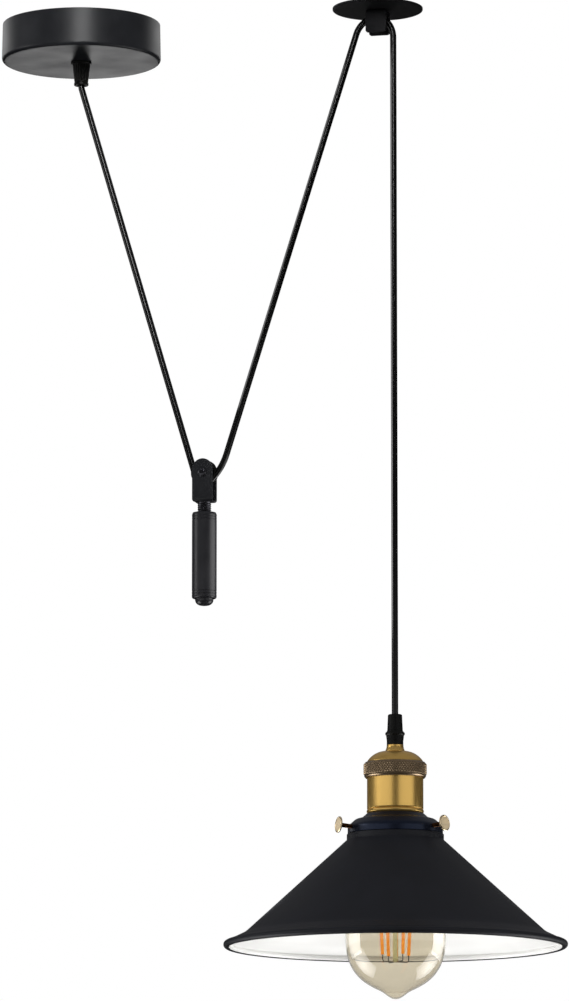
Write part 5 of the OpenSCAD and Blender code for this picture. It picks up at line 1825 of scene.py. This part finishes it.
@dataclass
class Bulb(OnLamp):
    """Long clear bulb on a screw cap, with four filaments on a wire frame."""

    radius: float = 32.2
    glass_t: float = 0.8
    contact_z: float = -507.94
    base_end_z: float = -533.54
    tip_z: float = -647.94
    base_r: float = 12.65
    wave: float = 0.5
    pitch: float = 3.6
    wall_rows: int = 110
    neck_r: float = 13.5
    tail_r: float = 11.5
    filament_d: float = 2.1
    filament_l: float = 38.0
    filament_foot_z: float = -619.64
    filaments_count: int = 4
    foot_r: float = 9.5
    top_r: float = 11.5
    turn: float = 42.0
    stem_end_z: float = -624.44
    rod_r: float = 1.8
    pinch_share: float = 0.3
    wire_r: float = 0.35

    def _line(self, r: float, steps: int = 16) -> Array:
        """Outside line of the glass grown to radius r: tail in the cap, neck, flank, tip."""
        d = r - self.radius
        neck, tail, e = self.neck_r + d, self.tail_r + d, self.base_end_z - 0.1
        wide, low = self.tip_z + 39, self.tip_z - d
        shoulder = [r * 0.3, low + 5.2]
        return join(
            [[tail, e + 6], [tail, e], [neck - 0.9, e - 0.4]],
            cubic([[neck, e - 2], [neck, e - 18], [r, wide + 34], [r, wide]], 3 * steps),
            cubic([[r, wide], [r, wide - 24], [r * 0.56, low + 9.2], shoulder], 2 * steps),
            cubic([shoulder, [r * 0.2, low + 3.6], [r * 0.12, low], [0, low]], steps),
        )

    def glass(self) -> Array:
        """Blown envelope of even thickness; the cap hides the end of its neck."""
        inner = self._line(self.radius - self.glass_t)
        return self.lathe(join(self._line(self.radius), inner[::-1]), 160)

    def cap(self) -> Array:
        """Pressed screw cap: round thread with a rise of one pitch a turn, shoulder, contact."""
        r, e, tip = self.base_r, self.base_end_z, self.contact_z
        top, crest = tip - 4.2, self.base_r + self.wave
        wall = np.linspace(e + 0.6, top, self.wall_rows)
        shoulder = [
            (r - 0.4, top + 0.4, 0), (10, top + 1.6, 0.8), (6, top + 2.6, 0.6),
            (4.6, tip - 0.9, 0.2), (4.4, tip - 0.3, 0.2), (3.0, tip, 0.5), (0, tip, 0),
        ]
        line = join(
            [[r - 1.6, e + 4], [r - 1.2, e], [r, e], [r + 0.2, e + 0.3]],
            np.stack([np.full(self.wall_rows, crest), wall], -1),
            fillet(shoulder),
            [[0, tip - 3], [r - 2.2, top - 2]],
        )

        def relief(rr: Array, z: Array, a: Array) -> Array:
            """Radius on the wall: base + wave cos of the turns climbed, faded at both ends."""
            turns = (z - e) / self.pitch - a / TAU
            fade = smooth((z - e - 0.6) / 1.8) * smooth((top - z) / 1.2)
            return np.where(rr > crest - TOUCH, r + self.wave * np.cos(TAU * turns) * fade, rr)

        return self.lathe(line, 160, relief)

    def stem(self) -> Array:
        """Glass mount: a flared foot, a pinched middle and a rod with a melted button end."""
        top, end = self.base_end_z - 2.1, self.stem_end_z
        rod, foot = self.rod_r, self.neck_r - self.glass_t
        line = fillet(
            [
                (0, top, 0), (foot - 0.1, top, 0.3), (foot - 2, top - 4, 4), (4.4, top - 12, 5),
                (3.4, top - 24, 3), (1.9, top - 28, 2), (rod, end + 1.2, 0.8), (rod, end, 0.8),
                (0, end, 0),
            ],
            steps=8,
        )

        def pinch(r: Array, z: Array, a: Array) -> Array:
            """The press flattens the middle: the radius shrinks by a cosine of twice the angle."""
            on = smooth((z - (top - 27)) / 4) * smooth((top - 9 - z) / 4)
            return r * (1 - self.pinch_share * on * swell(2 * a))

        return self.lathe(dense(line, 1.5), 72, pinch)

    def _spot(self, r: float, k: int, z: float) -> list[float]:
        """A point at radius r and height z beside filament k."""
        a = math.radians(self.turn + 90 * k)
        return [self.route.lamp_x + r * math.cos(a), r * math.sin(a), z]

    def filaments(self) -> list[Array]:
        """Four leaning sticks with rounded metal-free ends."""
        low, top = self.filament_foot_z, self.filament_foot_z + self.filament_l
        forms = []
        for k in range(self.filaments_count):
            ends = [self._spot(self.foot_r, k, low), self._spot(self.top_r, k, top)]
            forms.append(swept(dense(np.array(ends), 1.0), self.filament_d / 2, 24))
        return forms

    def wires(self) -> list[Array]:
        """Wires from the rod's end to each filament's foot, and from each top back to the stem."""
        foot, top = self.filament_foot_z, self.filament_foot_z + self.filament_l
        low = foot - 4.4
        lines = [
            fillet([(1.22, low, 0), (self.foot_r, low, 1.6), (self.foot_r, foot, 0)], steps=6),
            fillet([(self.top_r, top, 0), (self.top_r, top + 5, 2.0), (1.5, top + 8, 0)], steps=6),
        ]
        runs = []
        for k in range(self.filaments_count):
            a = math.radians(self.turn + 90 * k)
            for line in lines:
                path = [self._spot(float(r), k, float(z)) for r, z in dense(line, 1.0)]
                across = (-math.sin(a), math.cos(a), 0.0)
                runs.append(swept(np.array(path), self.wire_r, 12, across))
        return runs

    def build(self) -> None:
        """Makes the bulb's pieces."""
        body = Body.BULB
        envelope = Piece("bulb_envelope", Palette.glass).add(self.glass())
        envelope.make(body, "bulb_glass", sharp=60)
        make_pieces(body, {"bulb_screw_cap": (Palette.cap_metal, self.cap(), "bulb_base")})
        rows = {"bulb_mount": (Palette.stem_glass, self.stem(), "bulb_stem")}
        make_pieces(body, rows, wrap_rows=False)
        for name, finish, forms, node in (
            ("bulb_filament_sticks", Palette.phosphor, self.filaments(), "bulb_filaments"),
            ("bulb_frame_wires", Palette.wire, self.wires(), "filament_frame"),
        ):
            piece = Piece(name, finish)
            for form in forms:
                piece.add(form)
            piece.make(body, node, sharp=50)


# ---------------------------------------------------------------------------
# Studio
# ---------------------------------------------------------------------------


@dataclass(frozen=True)
class Panel:
    """A flat soft lamp that faces a target from a direction.

    The direction is an angle from the camera's own compass direction, to the right, and a rise
    above the horizon. Level is the panel's brightness, where 1 shows as white. Spread is the
    whole angle of its beam; a small one is a softbox with a grid, which lights one piece only.
    """

    name: str
    target: tuple[float, float, float]
    angle: float
    rise: float
    distance: float
    width: float
    height: float
    level: float
    in_gloss: bool = True
    spread: float = 180.0

    def hang(self, azimuth: float) -> bpy.types.Object:
        """Makes the lamp: its power is pi x area x level, which gives that brightness.

        Blender brightens a beam of half angle e by 1 / (1 - e / tan e), so the power is cut by it.

        Args:
            azimuth: The camera's compass direction, seen from the object, in degrees.

        Returns:
            The lamp.
        """
        a, e = math.radians(azimuth + self.angle), math.radians(self.rise)
        away = Vector((math.cos(e) * math.cos(a), math.cos(e) * math.sin(a), math.sin(e)))
        data = bpy.data.lights.new(self.name, "AREA")
        data.shape, data.size, data.size_y = "RECTANGLE", self.width, self.height
        half = math.radians(self.spread) / 2
        share = 1.0 if self.spread >= 180 else 1 - half / math.tan(half)
        data.spread = 2 * half
        data.energy = math.pi * self.width * self.height * self.level * share
        made = bpy.data.objects.new(self.name, data)
        made.location = Vector(self.target) + away * self.distance
        made.rotation_euler = away.to_track_quat("Z", "Y").to_euler()
        made.visible_camera = made.visible_transmission = False
        made.visible_glossy = self.in_gloss
        bpy.context.scene.collection.objects.link(made)
        return made


@dataclass
class Studio:
    """Camera, floor, surroundings and lamps."""

    lens: float = 232.49
    camera_at: tuple[float, float, float] = (1.1394, -4.0154, -0.9765)
    azimuth: float = 14.0
    elevation: float = 8.97
    floor_z: float = -2.4
    floor_half: float = 6.0
    sky: tuple[float, ...] = (0.24, 0.24, 0.25, 1)
    soft_light: tuple[float, ...] = (0.62, 0.62, 0.63, 1)
    walls: tuple[tuple[float, float], ...] = (
        (-180, 0.2), (-172, 0.15), (-160, 0.03), (-114, 0.02), (-84, 0.02), (-74, 0.12),
        (-14, 0.12), (-6, 0.03), (6, 0.03), (14, 0.1), (74, 0.1), (84, 0.02), (120, 0.02),
        (160, 0.03), (172, 0.15), (180, 0.2),
    )
    panels: tuple[Panel, ...] = (
        Panel("key_panel", (0.14, 0.0, -0.35), -52, 28, 3.0, 1.6, 1.6, 4.8, in_gloss=False),
        Panel("fill_panel", (0.14, 0.0, -0.35), 48, 14, 2.8, 1.6, 1.6, 2.2, in_gloss=False),
        Panel("shade_panel_below", (0.211, 0.0, -0.6), 0, -90, 0.9, 0.8, 0.8, 0.5, in_gloss=False),
        Panel("holder_panel_left", (0.211, 0.0, -0.512), -45, 6.4, 0.5, 0.64, 0.15, 1.12),
        Panel("holder_panel_right", (0.211, 0.0, -0.512), 45.5, 6.4, 0.5, 0.64, 0.15, 1.08),
        Panel("cord_panel", (0.1, 0.0, -0.35), -85, 12, 1.2, 0.5, 0.38, 3.0),
        Panel("cord_panel_near", (0.205, 0.0, -0.215), -92, 6, 0.09, 0.09, 0.38, 9.0, spread=70),
        Panel("rose_panel", (0.0, 0.0, -0.012), 2, 12.0, 1.0, 0.2, 0.24, 55.0, spread=34),
        Panel("rose_panel_left", (0.0, 0.0, -0.012), -142, 10, 0.25, 0.34, 0.1, 2.1, spread=70),
        Panel("rose_panel_right", (0.0, 0.0, -0.012), 142, 10, 0.25, 0.34, 0.1, 1.95, spread=70),
        Panel(
            "rose_panel_below", (-0.012, 0.0, -0.025), 180, -13.4, 0.8, 0.18, 0.3, 2.0, spread=60
        ),
        Panel("weight_panel", (0.0846, 0.0, -0.364), 84, 9, 0.09, 0.1, 0.08, 3.2, spread=120),
        Panel(
            "thumb_panel_left", (0.18, -0.0226, -0.539), -136, 9.6, 0.1, 0.034, 0.02, 2.6, spread=20
        ),
        Panel(
            "thumb_panel_right", (0.2466, -0.0157, -0.539), 104, 12.3, 0.1, 0.034, 0.02, 2.6,
            spread=20,
        ),
        Panel("bulb_panel_left", (0.211, 0.0, -0.63), -102, -32, 0.6, 0.5, 0.5, 8.5, spread=66),
        Panel("bulb_panel_right", (0.211, 0.0, -0.63), 108, -32, 0.6, 0.5, 0.5, 8.5, spread=66),
        Panel("bulb_side_left", (0.211, 0.0, -0.613), -97, 2, 0.083, 0.065, 0.056, 8.5, spread=90),
        Panel("bulb_side_right", (0.211, 0.0, -0.613), 103, 2, 0.083, 0.07, 0.056, 8.5, spread=90),
    )

    def camera(self) -> None:
        """A long lens that looks slightly upwards."""
        data = bpy.data.cameras.new("camera")
        data.sensor_fit, data.sensor_height, data.lens = "VERTICAL", 36.0, self.lens
        data.clip_start, data.clip_end = 0.1, 50
        camera = bpy.data.objects.new("camera", data)
        camera.location = self.camera_at
        camera.rotation_euler = (math.radians(90 + self.elevation), 0, math.radians(self.azimuth))
        bpy.context.scene.collection.objects.link(camera)
        bpy.context.scene.camera = camera

    def floor(self) -> None:
        """A plain pale floor, far below the lamp. Glossy surfaces see the room below it instead."""
        mesh = bpy.data.meshes.new("studio_floor")
        h, z = self.floor_half, self.floor_z
        mesh.from_pydata([(-h, -h, z), (h, -h, z), (h, h, z), (-h, h, z)], [], [(0, 1, 2, 3)])
        # Matt off-white paint, with nothing to see in it at this distance.
        material = bpy.data.materials.new("studio_floor_paint")
        material.use_nodes = True
        shader = material.node_tree.nodes["Principled BSDF"]
        Skin(material.node_tree, shader).put(Base_Color=linear("#f2f1ef"), Roughness=0.9)
        mesh.materials.append(material)
        made = bpy.data.objects.new("studio_floor", mesh)
        made.visible_glossy = False
        bpy.context.scene.collection.objects.link(made)

    def surroundings(self) -> None:
        """White behind the object; a dim room with a few pale walls for what glossy surfaces see.

        The room's brightness is a ramp over the compass angle of a direction, times a ramp over
        its height, and high up an even grey. Angles count from the camera's own direction.
        """
        world = bpy.data.worlds.new("studio")
        bpy.context.scene.world = world
        world.use_nodes = True
        world.cycles.sampling_method = "NONE"
        tree = world.node_tree
        tree.nodes.clear()
        view = add(tree, "ShaderNodeTexCoord").outputs["Generated"]
        height = add(tree, "ShaderNodeSeparateXYZ", {0: view}).outputs[2]
        inputs = {"Vector": view, "Angle": -math.radians(self.azimuth - 90)}
        turn = add(tree, "ShaderNodeVectorRotate", inputs, rotation_type="Z_AXIS").outputs[0]
        flat = add(tree, "ShaderNodeSeparateXYZ", {0: turn}).outputs
        angle = calc(tree, "ARCTAN2", flat[1], flat[0])
        share = calc(tree, "MULTIPLY_ADD", angle, 1 / TAU, 0.5)
        walls = ramp(tree, share, [((a + 180) / 360, level) for a, level in self.walls])
        up = calc(tree, "MULTIPLY_ADD", height, 0.5, 0.5)
        heights = ramp(tree, up, [(0.0, 0.25), (0.3, 0.15), (0.42, 0.1), (0.5, 0.7), (0.58, 1.0)])
        room = mix(tree, 1.0, walls, heights, "MULTIPLY")
        glossy = mix(tree, ramp(tree, up, [(0.62, 0.0), (0.8, 1.0)]), room, self.sky)
        path = add(tree, "ShaderNodeLightPath").outputs
        soft = mix(tree, path["Is Glossy Ray"], self.soft_light, glossy)
        clear = calc(tree, "MAXIMUM", path["Is Camera Ray"], path["Is Transmission Ray"])
        colour = mix(tree, clear, soft, (1, 1, 1, 1))
        back = add(tree, "ShaderNodeBackground", {"Color": colour, "Strength": 1.0})
        add(tree, "ShaderNodeOutputWorld", {"Surface": back.outputs[0]})

    def build(self) -> None:
        """Sets up floor, surroundings and lamps."""
        self.floor()
        self.surroundings()
        for panel in self.panels:
            panel.hang(self.azimuth - 90)


def main() -> None:
    """Builds the camera and cord first, then each sub-assembly, then the studio."""
    logging.basicConfig(level=logging.INFO, format="%(name)s: %(message)s")
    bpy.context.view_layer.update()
    route, studio = Route(), Studio()
    studio.camera()
    parts = (
        Cord(route), CeilingRose(), CeilingPulley(route), Counterweight(route),
        Lampholder(route), ShadeSet(route), Bulb(route), studio,
    )
    for part in parts:
        part.build()
    bpy.context.scene.view_settings.view_transform = "Standard"


if __name__ == "__main__":
    main()
